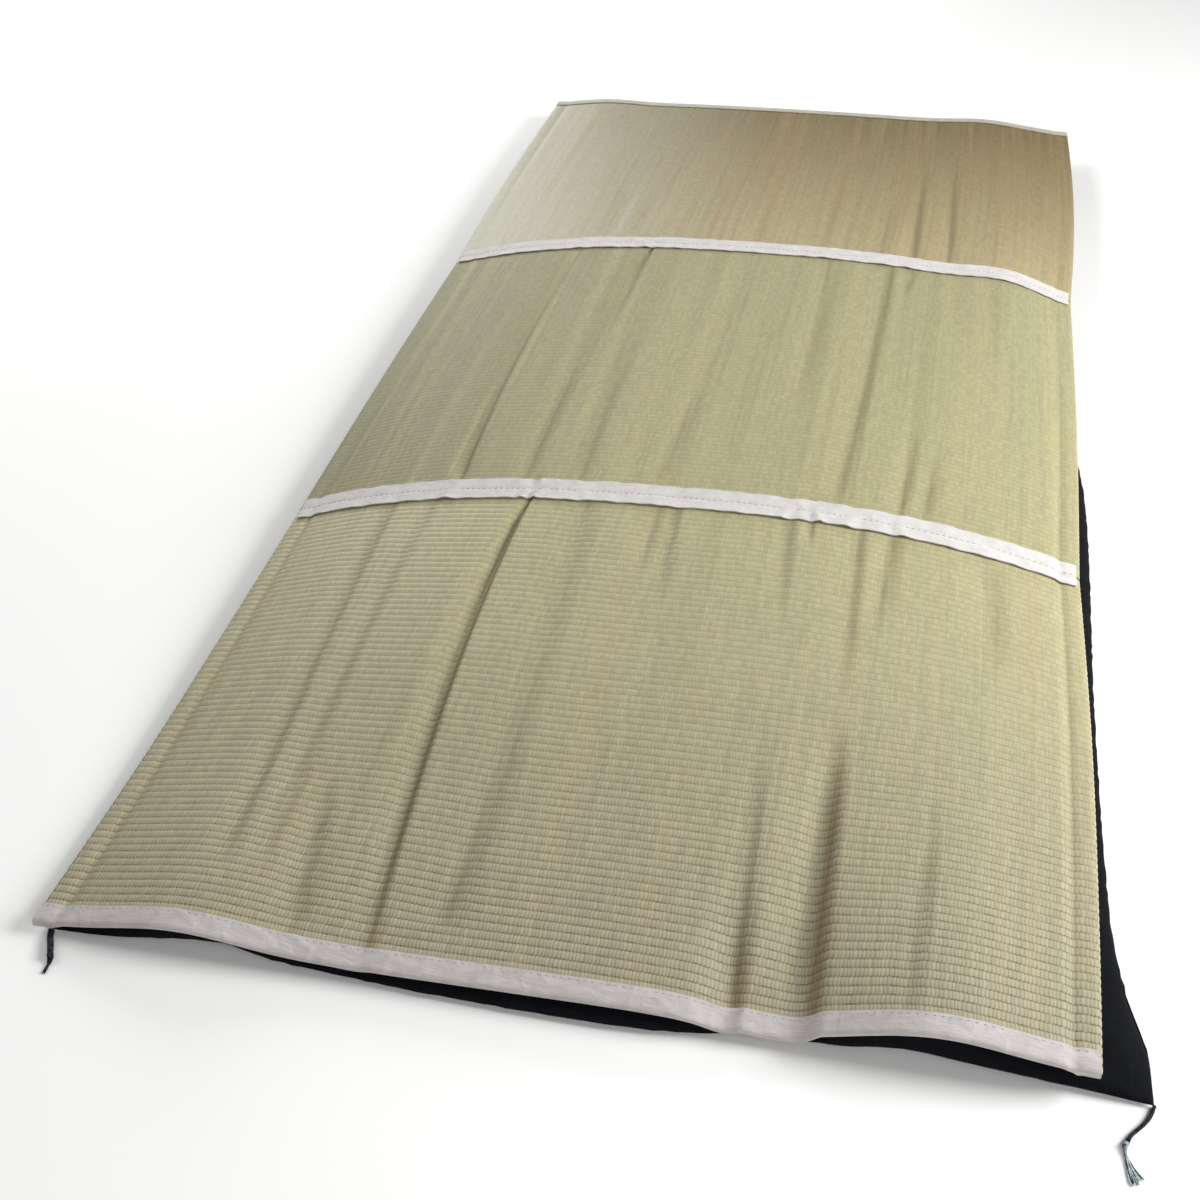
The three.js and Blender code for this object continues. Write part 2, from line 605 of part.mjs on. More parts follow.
// A tassel lying on the floor: a cord, a bound head and strands fanned out level from it.
function tassel({ route, cordRadius, strands }) {
  const cord = new THREE.CatmullRomCurve3(
    route.map(([x, y]) => new THREE.Vector3(x, y, cordRadius)),
  );
  const end = cord.getPoint(1);
  const away = cord.getTangent(1);
  const headCentre = end.clone().addScaledVector(away, TASSEL_HEAD_LENGTH / 2);
  const head = new THREE.CapsuleGeometry(
    TASSEL_HEAD_RADIUS,
    TASSEL_HEAD_LENGTH - TASSEL_HEAD_RADIUS,
    HEAD_CAP_STEPS,
    CORD_SIDES,
  );
  const heading = Math.atan2(away.y, away.x);
  head.rotateZ(heading - Math.PI / 2);
  head.translate(headCentre.x, headCentre.y, TASSEL_HEAD_RADIUS);
  const reach = TASSEL_HEAD_LENGTH / 2 + strands.length;
  const bars = Array.from({ length: strands.count }, (_, i) => {
    const share = i / (strands.count - 1) - 0.5;
    const halfThick = STRAND_HALF_THICKS[i % STRAND_HALF_THICKS.length];
    const start = new THREE.Vector3(headCentre.x, headCentre.y, halfThick);
    start.x -= away.y * share * TASSEL_HEAD_RADIUS;
    start.y += away.x * share * TASSEL_HEAD_RADIUS;
    const bend = start.clone().addScaledVector(away, reach * STRAND_BEND_SHARE);
    const angle = heading + strands.turn + share * strands.spread;
    const tip = start.clone();
    tip.x += reach * Math.cos(angle);
    tip.y += reach * Math.sin(angle);
    const curve = new THREE.QuadraticBezierCurve3(start, bend, tip);
    return barAlong(curve, halfThick * Math.SQRT2, STRAND_SIDES, STRAND_STEPS);
  });
  return joined([barAlong(cord, cordRadius, CORD_SIDES, CORD_STEPS), head, ...bars]);
}

function part(name, geometry, material) {
  const mesh = new THREE.Mesh(geometry, material);
  mesh.name = name;
  return mesh;
}

const mat = new THREE.Group();
for (const [name, rows] of Object.entries(PANELS)) {
  mat.add(part(`rush_panel_${name}`, rushPanel(rows), RUSH));
}
for (const [name, y] of Object.entries(TAPE_Y)) {
  mat.add(part(`joint_tape_${name}`, jointTape(y), COTTON_TAPE));
}
for (const end of Object.keys(MAT_END)) {
  mat.add(part(`end_binding_${end}`, endBinding(end), COTTON_TAPE));
}

const bed = new THREE.Group();
bed.add(part("futon_mattress", mattress(), MATTRESS_COTTON));
for (const spec of TASSELS) bed.add(part(spec.name, tassel(spec), TASSEL_YARN));

const sleepingMat = new THREE.Group();
sleepingMat.add(mat, bed);

export default sleepingMat;
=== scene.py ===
# %% [markdown]
# # A rush sleeping mat on a thin futon mattress
#
# Three panels of ribbed rush matting are joined by two cotton tapes, so that the mat folds in three. It
# lies open over a thin, filled mattress, arches across its width, and its foot edge waves up and down. The
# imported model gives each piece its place, and this script gives each piece its cloth, its folds and its
# finish. Everything is in metres. X runs across the mat, Y from its foot to its head, and Z up from the
# floor.

# %% Load the frame
import math
from collections import namedtuple

import bpy
import numpy as np
from mathutils import Matrix, Vector


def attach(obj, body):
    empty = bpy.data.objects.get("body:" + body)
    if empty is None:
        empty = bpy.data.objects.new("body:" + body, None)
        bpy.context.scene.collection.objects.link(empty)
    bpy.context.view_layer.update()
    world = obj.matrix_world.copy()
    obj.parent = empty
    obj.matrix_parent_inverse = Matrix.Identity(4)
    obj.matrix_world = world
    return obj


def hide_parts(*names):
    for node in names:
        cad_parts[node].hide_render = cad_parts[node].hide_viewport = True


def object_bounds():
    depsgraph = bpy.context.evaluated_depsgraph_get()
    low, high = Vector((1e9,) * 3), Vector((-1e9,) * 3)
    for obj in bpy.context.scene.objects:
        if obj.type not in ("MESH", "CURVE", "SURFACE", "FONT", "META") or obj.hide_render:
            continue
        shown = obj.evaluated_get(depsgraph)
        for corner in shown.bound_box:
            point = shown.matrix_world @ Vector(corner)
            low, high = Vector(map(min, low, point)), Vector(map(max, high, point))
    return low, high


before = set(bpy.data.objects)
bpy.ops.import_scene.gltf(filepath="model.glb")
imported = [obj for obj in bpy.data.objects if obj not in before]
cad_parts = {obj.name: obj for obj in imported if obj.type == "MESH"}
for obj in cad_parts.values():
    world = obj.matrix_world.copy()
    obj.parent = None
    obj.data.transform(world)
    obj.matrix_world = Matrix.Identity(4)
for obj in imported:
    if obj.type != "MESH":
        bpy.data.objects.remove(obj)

cad_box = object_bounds()
cad_size = cad_box[1] - cad_box[0]
print("nodes:", ", ".join(sorted(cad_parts)))
print("size of the model in metres:", [round(side, 3) for side in cad_size])

# %% [markdown]
# ## Camera
#
# The camera stands at the foot of the mat, a little to the right, and looks down its length. A camera could
# be aimed at a point with a constraint, but here its place and its three angles are known, so they are set
# as they are. Yaw turns it left, pitch tips it down, and roll leans it by about one degree.

# %% Camera
CAMERA_PLACE = Vector((0.260, -1.853, 1.071))
CAMERA_YAW = math.radians(-12.86)
CAMERA_PITCH = math.radians(36.15)
CAMERA_ROLL = math.radians(1.31)
SENSOR_WIDTH = 36.0
LENS = 49.55

bpy.ops.object.select_all(action="DESELECT")
bpy.ops.object.camera_add()
camera = bpy.context.object
camera.name = "camera"
ahead = Vector((math.sin(CAMERA_YAW) * math.cos(CAMERA_PITCH),
                math.cos(CAMERA_YAW) * math.cos(CAMERA_PITCH),
                -math.sin(CAMERA_PITCH)))
level_right = Vector((math.cos(CAMERA_YAW), -math.sin(CAMERA_YAW), 0))
level_up = level_right.cross(ahead)
right = math.cos(CAMERA_ROLL) * level_right - math.sin(CAMERA_ROLL) * level_up
up = math.sin(CAMERA_ROLL) * level_right + math.cos(CAMERA_ROLL) * level_up
camera.matrix_world = Matrix.Translation(CAMERA_PLACE) @ Matrix((right, up, -ahead)).transposed().to_4x4()
camera.data.sensor_width = SENSOR_WIDTH
camera.data.lens = LENS
bpy.context.scene.camera = camera
print("camera looks along", [round(part, 3) for part in ahead])

# %% [markdown]
# ## The form of the mat
#
# All of the cloth follows one surface, the top of the rush. A simulation could drape it, but then its folds
# would lie by chance. Here the surface is a sum of simple forms that are placed one by one: the height of
# its two sides, an arch between them, swellings that lift the foot edge, and a table of lengthwise folds.
# These helpers work on whole arrays of points at once.

# %% Helpers for smooth forms
MM = 0.001


def bell(distance):
    """1 at the middle, falling smoothly to nothing."""
    return np.exp(-distance * distance)


def mix(low, high, share):
    """The value that lies a share of the way from low to high."""
    return low + (high - low) * share


def ease(value, start, end):
    """0 before start, 1 after end, and a soft slope between them."""
    share = np.clip((value - start) / (end - start), 0, 1)
    return share * share * (3 - 2 * share)


def smooth_through(places, values, at):
    """A smooth curve through the rows of a table: its value at a place between them."""
    places, values = np.asarray(places, float), np.asarray(values, float)
    before = np.maximum(np.arange(len(places)) - 1, 0)
    after = np.minimum(np.arange(len(places)) + 1, len(places) - 1)
    slopes = (values[after] - values[before]) / (places[after] - places[before])
    i = np.searchsorted(places[1:-1], at)
    span = places[i + 1] - places[i]
    t = np.clip((at - places[i]) / span, 0, 1)
    start = (2 * t**3 - 3 * t**2 + 1) * values[i] + (t**3 - 2 * t**2 + t) * span * slopes[i]
    end = (3 * t**2 - 2 * t**3) * values[i + 1] + (t**3 - t**2) * span * slopes[i + 1]
    return start + end


print("half way between 0 and 1 eases to", float(ease(0.5, 0, 1)))

# %% [markdown]
# ### Width and arch
#
# A flat mat would be 894 mm wide. Where it arches up over the mattress, its two sides draw in a little, and
# between the tapes each panel bulges sideways by a few millimetres.

# %% Outline of the mat
FOOT_END, HEAD_END = -990 * MM, 995 * MM
FOOT_TAPE, HEAD_TAPE = -350.5 * MM, 332.5 * MM
MAT_HALF_WIDTH = 447 * MM
WIDTH_TAKEN_BY_ARCH = 0.125
PANEL_SPANS = {"foot": (FOOT_END, FOOT_TAPE), "middle": (FOOT_TAPE, HEAD_TAPE), "head": (HEAD_TAPE, HEAD_END)}
SIDE_BULGES = {"foot": (-2 * MM, 6 * MM), "middle": (3 * MM, 3 * MM), "head": (6 * MM, 8 * MM)}

# Each station: its place along the mat, the heights of the left and right side, and the rise between them.
STATIONS = MM * np.array([
    [-990, 11, 28, 0],
    [-800, 13, 30, 24],
    [-600, 20, 38, 46],
    [-350, 26, 44, 60],
    [0, 31, 43, 58],
    [333, 36, 38, 48],
    [700, 38, 36, 28],
    [995, 40, 36, 12],
])
STATION_Y, LEFT_HEIGHTS, RIGHT_HEIGHTS, ARCHES = STATIONS.T


def half_width(x, y):
    """How far the mat's side lies from its middle line, on the side where x is."""
    bulge = np.zeros(np.broadcast(x, y).shape)
    for panel, (start, end) in PANEL_SPANS.items():
        share = np.clip((y - start) / (end - start), 0, 1)
        left, right_side = SIDE_BULGES[panel]
        bulge += np.where(np.asarray(x) < 0, left, right_side) * np.sin(math.pi * share)
    return MAT_HALF_WIDTH - WIDTH_TAKEN_BY_ARCH * smooth_through(STATION_Y, ARCHES, y) + bulge


for name, at in (("foot end", FOOT_END), ("foot tape", FOOT_TAPE), ("head end", HEAD_END)):
    print(f"half width at the {name}: {float(half_width(1.0, at)):.3f} m")

# %% [markdown]
# ### Folds
#
# Rush is stiff along its stems, so the mat can only fold lengthwise. Each fold is a trough with two low
# shoulders, and it leans: its left flank is long and soft, and its right one short, with a crisp ridge. A
# row gives where a fold starts and ends, how far it bows sideways, its depth at the start, middle and end,
# its half width at both ends, and the lengths over which its two ends fade away, all in millimetres.

# %% Table of folds
Fold = namedtuple("Fold", [
    "start_x", "start_y", "end_x", "end_y", "bow", "start_depth", "middle_depth", "end_depth",
    "start_half", "end_half", "start_fade", "end_fade",
])
FOLDS = [Fold(*row) for row in MM * np.array([
    # In the foot panel
    [-153, -995, -155, -330, -13, 2, 5, 6, 13, 5, 0, 30],
    [156, -995, 142, -660, 0, 7, 2, 1, 15, 12, 0, 160],
    [215, -995, 209, -600, 0, 10, 8, 1, 20, 15, 0, 180],
    [209, -660, 203, -330, 0, 1, 2, 3, 14, 12, 120, 40],
    [136, -560, 127, -330, 0, 1, 2, 3, 14, 13, 120, 30],
    [156, -430, 153, -320, 0, 1, 2, 3, 6, 5, 60, 20],
    [-303, -930, -316, -335, -6, 2, 2, 3, 11, 8, 60, 30],
    [-268, -930, -266, -335, -10, 2, 2, 2, 11, 10, 60, 30],
    [-101, -960, -95, -335, 10, 3, 2, 3, 18, 15, 40, 30],
    [-11, -520, -13, -335, 0, 1, 2, 2, 8, 8, 90, 30],
    [16, -560, 7, -335, 0, 1, 2, 3, 9, 8, 100, 30],
    [297, -985, 306, -690, 0, 2, 2, 1, 8, 9, 20, 160],
    [352, -600, 338, -335, 0, 1, 2, 2, 13, 12, 120, 30],
    [233, -560, 241, -335, 0, 1, 2, 3, 9, 8, 100, 30],
    [-222, -985, -250, -740, 0, 3, 3, 1, 15, 13, 20, 120],
    # In the middle panel
    [-249, -345, -252, 325, -10, 4, 3, 2, 8, 9, 20, 60],
    [-175, -345, -175, 40, 0, 2, 2, 1, 11, 9, 20, 180],
    [-156, 20, -148, 340, 0, 1, 2, 5, 9, 6, 150, 20],
    [-112, -345, -114, 40, -2, 2, 2, 1, 11, 10, 20, 180],
    [-29, -345, -12, -30, 0, 2, 2, 1, 16, 15, 20, 180],
    [104, -180, 103, 325, 4, 1, 2, 2, 10, 9, 150, 20],
    [171, -345, 189, 325, 4, 2, 2, 3, 12, 11, 20, 20],
    [242, -345, 250, -60, 2, 3, 2, 1, 9, 9, 20, 180],
    [268, -345, 279, -140, 0, 2, 2, 1, 9, 8, 20, 140],
    [210, 190, 225, 330, 0, 1, 2, 2, 9, 8, 100, 20],
    # In the head panel
    [-215, 335, -222, 620, 0, 3, 2, 1, 16, 16, 20, 160],
    [-175, 335, -180, 600, 0, 3, 2, 1, 14, 14, 20, 160],
    [-63, 335, -61, 620, 0, 2, 2, 1, 9, 10, 20, 200],
    [168, 335, 174, 640, 0, 3, 2, 1, 14, 14, 20, 200],
    [219, 335, 214, 760, 0, 4, 3, 1, 10, 10, 20, 200],
    [268, 335, 263, 840, 0, 3, 3, 1, 9, 9, 20, 200],
])]
FOLD_LEAN = 0.3
RIDGE_AT = 1.25
RIDGE_SOFTNESS = 0.12
SHOULDER_RISE = 0.3
SHOULDER_SPREAD = 2.2


def fold_shape(fold, x, y):
    """How deep one fold's line is beside each point, and how many half widths the point is from it."""
    share = (y - fold.start_y) / (fold.end_y - fold.start_y)
    line = mix(fold.start_x, fold.end_x, share) + 4 * fold.bow * share * (1 - share)
    half = mix(fold.start_half, fold.end_half, share) * np.where(x > line, 1 - FOLD_LEAN, 1 + FOLD_LEAN)
    first = mix(fold.start_depth, fold.middle_depth, ease(share, 0, 0.5))
    second = mix(fold.middle_depth, fold.end_depth, ease(share, 0.5, 1))
    depth = np.where(share < 0.5, first, second)
    if fold.start_fade:
        depth = depth * ease(y, fold.start_y, fold.start_y + fold.start_fade)
    if fold.end_fade:
        depth = depth * (1 - ease(y, fold.end_y - fold.end_fade, fold.end_y))
    return np.where((share > 0) & (share < 1), depth, 0), (x - line) / half


def valley(across):
    """A valley 1 deep: a long soft left flank, and a right flank that steepens up to a crisp ridge."""
    climb = 1 - (across / RIDGE_AT)**2
    right_flank = (climb + np.hypot(climb, RIDGE_SOFTNESS)) / (1 + math.hypot(1, RIDGE_SOFTNESS))
    return np.where(across < 0, bell(across), right_flank)


def fold_depth(fold, x, y):
    """How deep one fold is at each point."""
    depth, across = fold_shape(fold, x, y)
    return depth * ((1 + SHOULDER_RISE) * valley(across) - SHOULDER_RISE * bell(across / SHOULDER_SPREAD))


def deepest(fold):
    """The greatest of a fold's three depths."""
    return max(fold.start_depth, fold.middle_depth, fold.end_depth)


def narrowest(fold):
    """The smaller of a fold's two half widths."""
    return min(fold.start_half, fold.end_half)


print(len(FOLDS), "folds, the deepest", round(max(map(deepest, FOLDS)) / MM), "mm")

# %% [markdown]
# ### Height of the rush
#
# A sewn strip stiffens the cloth, so the folds are shallower near each tape and each bound end. At the foot
# the mat also swells up over the mattress in two places, and dips to the floor between them. The last line
# of rush_top keeps the dip just above the floor, with a soft change where the cloth comes to lie on it.

# %% Height of the rush
TAPE_HALF_WIDTH = 19 * MM
BINDING_WIDTHS = {"foot": 19 * MM, "head": 16 * MM}
# Each strip: its middle, its half width, and the share of a fold's depth that it takes away.
STRIPS = [
    (FOOT_TAPE, TAPE_HALF_WIDTH, 0.6),
    (HEAD_TAPE, TAPE_HALF_WIDTH, 0.6),
    (FOOT_END, BINDING_WIDTHS["foot"], 0.45),
    (HEAD_END, BINDING_WIDTHS["head"], 0.2),
]
STRIP_EASE = 30 * MM
# Each swelling: its place, its height, its half width and its half length. One at the foot is a dip.
SWELLINGS = MM * np.array([
    [-315, -990, 17, 80, 190],
    [182, -990, -11, 60, 120],
    [325, -990, 19, 80, 230],
    [352, 345, 11, 60, 230],
    [310, 995, 7, 70, 200],
    [-350, 995, 5, 60, 200],
])
ARCH_POWER = 2.6
HEM_WIDTH = 18 * MM
HEM_EDGE = 1.5 * MM
HEM_GROOVE_INSET = 21 * MM
HEM_GROOVE_DEPTH = 2.2 * MM
HEM_GROOVE_HALF_WIDTH = 5 * MM
HEM_GROOVE_LEFT_AT_HEAD = 0.35
LOWEST_TOP = 5.2 * MM
LOWEST_HEM_TOP = 8.2 * MM
FLOOR_SOFTNESS = 4 * MM


def all_folds(x, y):
    """The depth of all folds together, held in by the sewn strips."""
    kept = np.ones(np.broadcast(x, y).shape)
    along = np.array(np.broadcast_to(y, kept.shape), float)
    for middle, half, held in STRIPS:
        within = np.clip(y - middle, -half, half)
        near = bell((y - middle - within) / STRIP_EASE)
        kept *= 1 - held * near
        along -= within * near
    return kept * sum(fold_depth(fold, x, along) for fold in FOLDS)


def rush_top(x, y):
    """Height of the rush's top face above the floor."""
    side = half_width(x, y)
    across = x / side
    heights = mix(smooth_through(STATION_Y, LEFT_HEIGHTS, y),
                  smooth_through(STATION_Y, RIGHT_HEIGHTS, y), (across + 1) / 2)
    arch = smooth_through(STATION_Y, ARCHES, y) * (1 - np.minimum(np.abs(across), 1) ** ARCH_POWER)
    lifted = sum(height * bell((x - at_x) / wide) * bell((y - at_y) / long)
                 for at_x, at_y, height, wide, long in SWELLINGS)
    inset = side - np.abs(x)
    groove = HEM_GROOVE_DEPTH * mix(1, HEM_GROOVE_LEFT_AT_HEAD, ease(y, FOOT_TAPE, HEAD_TAPE))
    groove = groove * bell((inset - HEM_GROOVE_INSET) / HEM_GROOVE_HALF_WIDTH)
    lowest = np.where(inset < HEM_WIDTH + HEM_EDGE, LOWEST_HEM_TOP, LOWEST_TOP)
    above = heights + arch + lifted - all_folds(x, y) - groove - lowest
    return lowest + 0.5 * (above + np.hypot(above, FLOOR_SOFTNESS))


for name, at in (("foot tape", FOOT_TAPE), ("head end", HEAD_END)):
    print(f"height over the middle of the {name}: {float(rush_top(0.0, at)) / MM:.0f} mm")

# %% [markdown]
# ## Materials
#
# Every material is built from nodes. Colours are written as sRGB hex values, as a paint chart gives them,
# and Blender wants them linear, so one function turns them. Another adds a node, sets it, and fills its
# inputs with numbers or with links from earlier nodes. Inputs are named, or numbered where a node has several
# of one name: a Mix node's two colours are 6 and 7, and its result is output 2, and a Map Range node's two
# ranges are 1 to 2 and 3 to 4. Patterns on cloth read a UV map named cloth, which is in metres on the flat
# cloth, so that a weave keeps its real size and follows every fold.

# %% Helpers for materials
CLOTH_MAP = "cloth"


def linear(hex_colour):
    """An sRGB hex colour, such as "#C0B890", as linear red, green, blue and alpha."""
    parts = [int(hex_colour[i:i + 2], 16) / 255 for i in (1, 3, 5)]
    return (*[part / 12.92 if part <= 0.04045 else ((part + 0.055) / 1.055) ** 2.4 for part in parts], 1)


def add_node(tree, kind, inputs=None, **settings):
    """Adds a node. An input may be a number, a colour or vector, an output, or a node to read from."""
    node = tree.nodes.new("ShaderNode" + kind)
    for setting, value in settings.items():
        setattr(node, setting, value)
    for socket, value in (inputs or {}).items():
        if isinstance(value, bpy.types.Node):
            value = next(output for output in value.outputs if output.enabled)
        if isinstance(value, bpy.types.NodeSocket):
            tree.links.new(value, node.inputs[socket])
        else:
            node.inputs[socket].default_value = value
    return node


def new_material(name, colour, sockets):
    """A material with a Principled shader, its sockets' values, and the same colour in solid view."""
    material = bpy.data.materials.new(name)
    material.use_nodes = True
    shader = material.node_tree.nodes["Principled BSDF"]
    for socket, value in {"Base Color": linear(colour), **sockets}.items():
        shader.inputs[socket].default_value = value
    material.diffuse_color = linear(colour)
    return material, material.node_tree, shader


print("middle grey in linear light:", round(linear("#808080")[0], 3))

# %% [markdown]
# ### Woven rush
#
# Rush stems are dried, mud-dyed and woven on a loom across strings. Each stem is a soft, pithy tube, so it
# shows a satin sheen and a dull green that ages to straw. Here the stems run lengthwise and the strings
# across, about 9 mm apart, so each rib is a row of short, rounded cells, and the next rib shows the stems
# between them. An image could be tiled over the mat, but nodes give every stem its own tone and never
# repeat.

# %% Rush matting material
RIB_PITCH = 8.7 * MM
STEM_WIDTH = 3.3 * MM
GROOVE_HALF_WIDTH = 0.18
STEM_RELIEF_MM = 0.32
RIB_RELIEF_MM = 0.25
FIBRE_RELIEF_MM = 0.12
# The colour of the painted shade in the grooves and gaps.
GROOVE_SHADE_COLOUR = "#5C5236"
# The colour of the painted shade in sharp creases.
CREASE_SHADE_COLOUR = "#6A5426"
CREASE_STRENGTH = 0.8
RUDDY_STEMS = "#9D8B68"
CREASE_SHADE = "crease"


def lengthwise_noise(tree, across, along, wide, long, detail, seed):
    """Noise in streaks about as wide and long as given, in metres."""
    place = add_node(tree, "CombineXYZ", {
        0: add_node(tree, "Math", {0: across, 1: 1 / wide}, operation="MULTIPLY"),
        1: add_node(tree, "Math", {0: along, 1: 1 / long}, operation="MULTIPLY"),
        2: float(seed),
    })
    return add_node(tree, "TexNoise", {"Vector": place, "Scale": 1.0, "Detail": detail, "Roughness": 0.6})


def tinted(tree, base, tone, noise, start, end, share):
    """The base colour, mixed towards a tone by up to share as the noise goes from start to end."""
    amount = add_node(tree, "MapRange", {0: noise, 1: start, 2: end, 3: 0.0, 4: share})
    return add_node(tree, "Mix", {0: amount, 6: base, 7: linear(tone)}, data_type="RGBA")


def rush_matting(name, look, length, seed):
    """Woven rush, with the tones and the strength of weave and streaks that one panel shows."""
    material, tree, shader = new_material(name, look["foot_tone"], {
        "Roughness": look["roughness"], "IOR": 1.45, "Specular IOR Level": look["shine"],
    })
    place = add_node(tree, "SeparateXYZ", {0: add_node(tree, "UVMap", uv_map=CLOTH_MAP)})
    across, along = place.outputs[0], place.outputs[1]

    # Count ribs along the mat and stems across it. Stems wander a little, and every second rib is shifted.
    ribs = add_node(tree, "Math", {0: along, 1: RIB_PITCH}, operation="DIVIDE")
    rib = add_node(tree, "Math", {0: ribs}, operation="FLOOR")
    odd = add_node(tree, "Math", {0: rib, 1: 2.0}, operation="FLOORED_MODULO")
    shift = add_node(tree, "Math", {0: odd, 1: 0.3, 2: float(seed)}, operation="MULTIPLY_ADD")
    wander = add_node(tree, "TexNoise", {"W": across, "Scale": 90.0, "Detail": 1.0}, noise_dimensions="1D")
    wandered = add_node(tree, "Math", {0: wander, 1: 0.9, 2: shift}, operation="MULTIPLY_ADD")
    stems = add_node(tree, "Math", {0: across, 1: 1 / STEM_WIDTH, 2: wandered}, operation="MULTIPLY_ADD")
    stem = add_node(tree, "Math", {0: stems}, operation="FLOOR")

    # The groove between ribs and the gap between stems, from 1 in its middle to 0 beside it.
    from_groove = add_node(tree, "Math", {0: ribs, 1: 0.5}, operation="PINGPONG")
    from_gap = add_node(tree, "Math", {0: stems, 1: 0.5}, operation="PINGPONG")
    groove = add_node(tree, "MapRange", {0: from_groove, 1: 0.02, 2: GROOVE_HALF_WIDTH, 3: 1.0, 4: 0.0},
                      interpolation_type="SMOOTHSTEP")
    gap = add_node(tree, "MapRange", {0: from_gap, 1: 0.0, 2: 0.3, 3: 1.0, 4: 0.0},
                   interpolation_type="SMOOTHSTEP")

    # The weave shows more at one end of a panel than at the other.
    lengthwise = add_node(tree, "MapRange", {0: along, 1: 0.0, 2: length, 3: 0.0, 4: 1.0})
    weave = add_node(tree, "MapRange", {0: lengthwise, 2: 0.6, 3: look["weave"][0], 4: look["weave"][1]})

    # Colour: the panel's tone, painted light and shade at its left side, then long streaks of older, greener
    # stems.
    # Towards its end the head panel turns to browner straw, darkened further with painted shade.
    tone = add_node(tree, "Mix", {0: lengthwise, 6: linear(look["foot_tone"]), 7: linear(look["head_tone"])},
                    data_type="RGBA")
    # On the left side: a painted sheen on the head panel, and painted shade on the middle panel.
    left_lighting = tinted(tree, tone.outputs[2], look["left_lighting_tone"], across, 0.42, 0.08, look["left_lighting_share"])
    streaks = lengthwise_noise(tree, across, along, wide=24 * MM, long=1600 * MM, detail=4.0, seed=seed)
    older = tinted(tree, left_lighting.outputs[2], look["old_tone"], streaks, 0.5, 0.68, look["streaking"])
    greener = tinted(tree, older.outputs[2], look["green_tone"], streaks, 0.48, 0.3, look["streaking"])
    fine_streaks = lengthwise_noise(tree, across, along, wide=5 * MM, long=500 * MM, detail=3.0,
                                    seed=seed + 7)
    ruddy = tinted(tree, greener.outputs[2], RUDDY_STEMS, fine_streaks, 0.52, 0.8, 0.4 * look["streaking"])

    # Each short cell of stem has its own brightness, and fine fibres run along it.
    cell_key = add_node(tree, "CombineXYZ", {0: stem, 1: rib, 2: float(seed)})
    cell_tone = add_node(tree, "TexWhiteNoise", {"Vector": cell_key}, noise_dimensions="3D")
    fibres = lengthwise_noise(tree, across, along, wide=0.7 * MM, long=16 * MM, detail=2.0,
                              seed=seed + 3)
    bright = add_node(tree, "MapRange", {0: cell_tone, 3: 0.93, 4: 1.07})
    brighter = add_node(tree, "MapRange", {0: fine_streaks, 1: 0.3, 2: 0.7, 3: 0.93, 4: 1.07})
    both = add_node(tree, "Math", {0: bright, 1: brighter}, operation="MULTIPLY")
    celled = add_node(tree, "HueSaturation", {"Value": both, "Color": ruddy.outputs[2]})

    # Painted shade in the grooves between ribs and in the gaps between stems. It is dark between two stems
    # and half hidden under the middle of one, so it looks broken.
    groove_shade_noise = lengthwise_noise(tree, across, along, wide=9 * MM, long=60 * MM, detail=2.0, seed=seed + 5)
    groove_shade_patches = add_node(tree, "MapRange", {0: groove_shade_noise, 1: 0.3, 2: 0.7, 3: 0.6, 4: 1.2})
    broken = add_node(tree, "MapRange", {0: gap, 3: 0.65, 4: 1.0})
    hidden = add_node(tree, "MapRange", {0: cell_tone.outputs["Color"], 3: 0.45, 4: 1.15})
    dark = groove
    for part in (groove_shade_patches, hidden, broken):
        dark = add_node(tree, "Math", {0: dark, 1: part}, operation="MULTIPLY")
    dark = add_node(tree, "Math", {0: gap, 1: 0.3, 2: dark}, operation="MULTIPLY_ADD", use_clamp=True)
    dark = add_node(tree, "Math", {0: dark, 1: weave}, operation="MULTIPLY")
    woven = add_node(tree, "Mix", {0: dark, 6: celled, 7: linear(GROOVE_SHADE_COLOUR)}, data_type="RGBA")

    # Painted shade in the sharp creases: a warm dark tone just under the ridge, on the steep flank.
    crease = add_node(tree, "Attribute", attribute_name=CREASE_SHADE)
    crease_shade_share = add_node(tree, "Math", {0: crease.outputs["Fac"], 1: CREASE_STRENGTH}, operation="MULTIPLY")
    final = add_node(tree, "Mix", {0: crease_shade_share, 6: woven.outputs[2], 7: linear(CREASE_SHADE_COLOUR)}, data_type="RGBA")
    tree.links.new(final.outputs[2], shader.inputs["Base Color"])

    # Relief in millimetres: a rounded stem, a rounded rib, and fine fibres along the stems.
    stem_round = add_node(tree, "Math", {0: from_gap, 1: 0.5}, operation="POWER")
    rib_round = add_node(tree, "Math", {0: from_groove, 1: 0.5}, operation="POWER")
    relief = add_node(tree, "Math", {0: fibres, 1: FIBRE_RELIEF_MM}, operation="MULTIPLY")
    for height, tallest in ((stem_round, STEM_RELIEF_MM), (rib_round, RIB_RELIEF_MM)):
        relief = add_node(tree, "Math", {0: height, 1: tallest, 2: relief}, operation="MULTIPLY_ADD")
    relief = add_node(tree, "Math", {0: relief, 1: weave}, operation="MULTIPLY")
    bump = add_node(tree, "Bump", {"Strength": 1.0, "Distance": MM, "Height": relief})
    tree.links.new(bump.outputs[0], shader.inputs["Normal"])

    # Dry stems shine softly, and the strings and dust in the grooves are dull.
    roughness = add_node(tree, "MapRange", {0: dark, 3: look["roughness"], 4: 0.85})
    tree.links.new(roughness.outputs[0], shader.inputs["Roughness"])
    return material
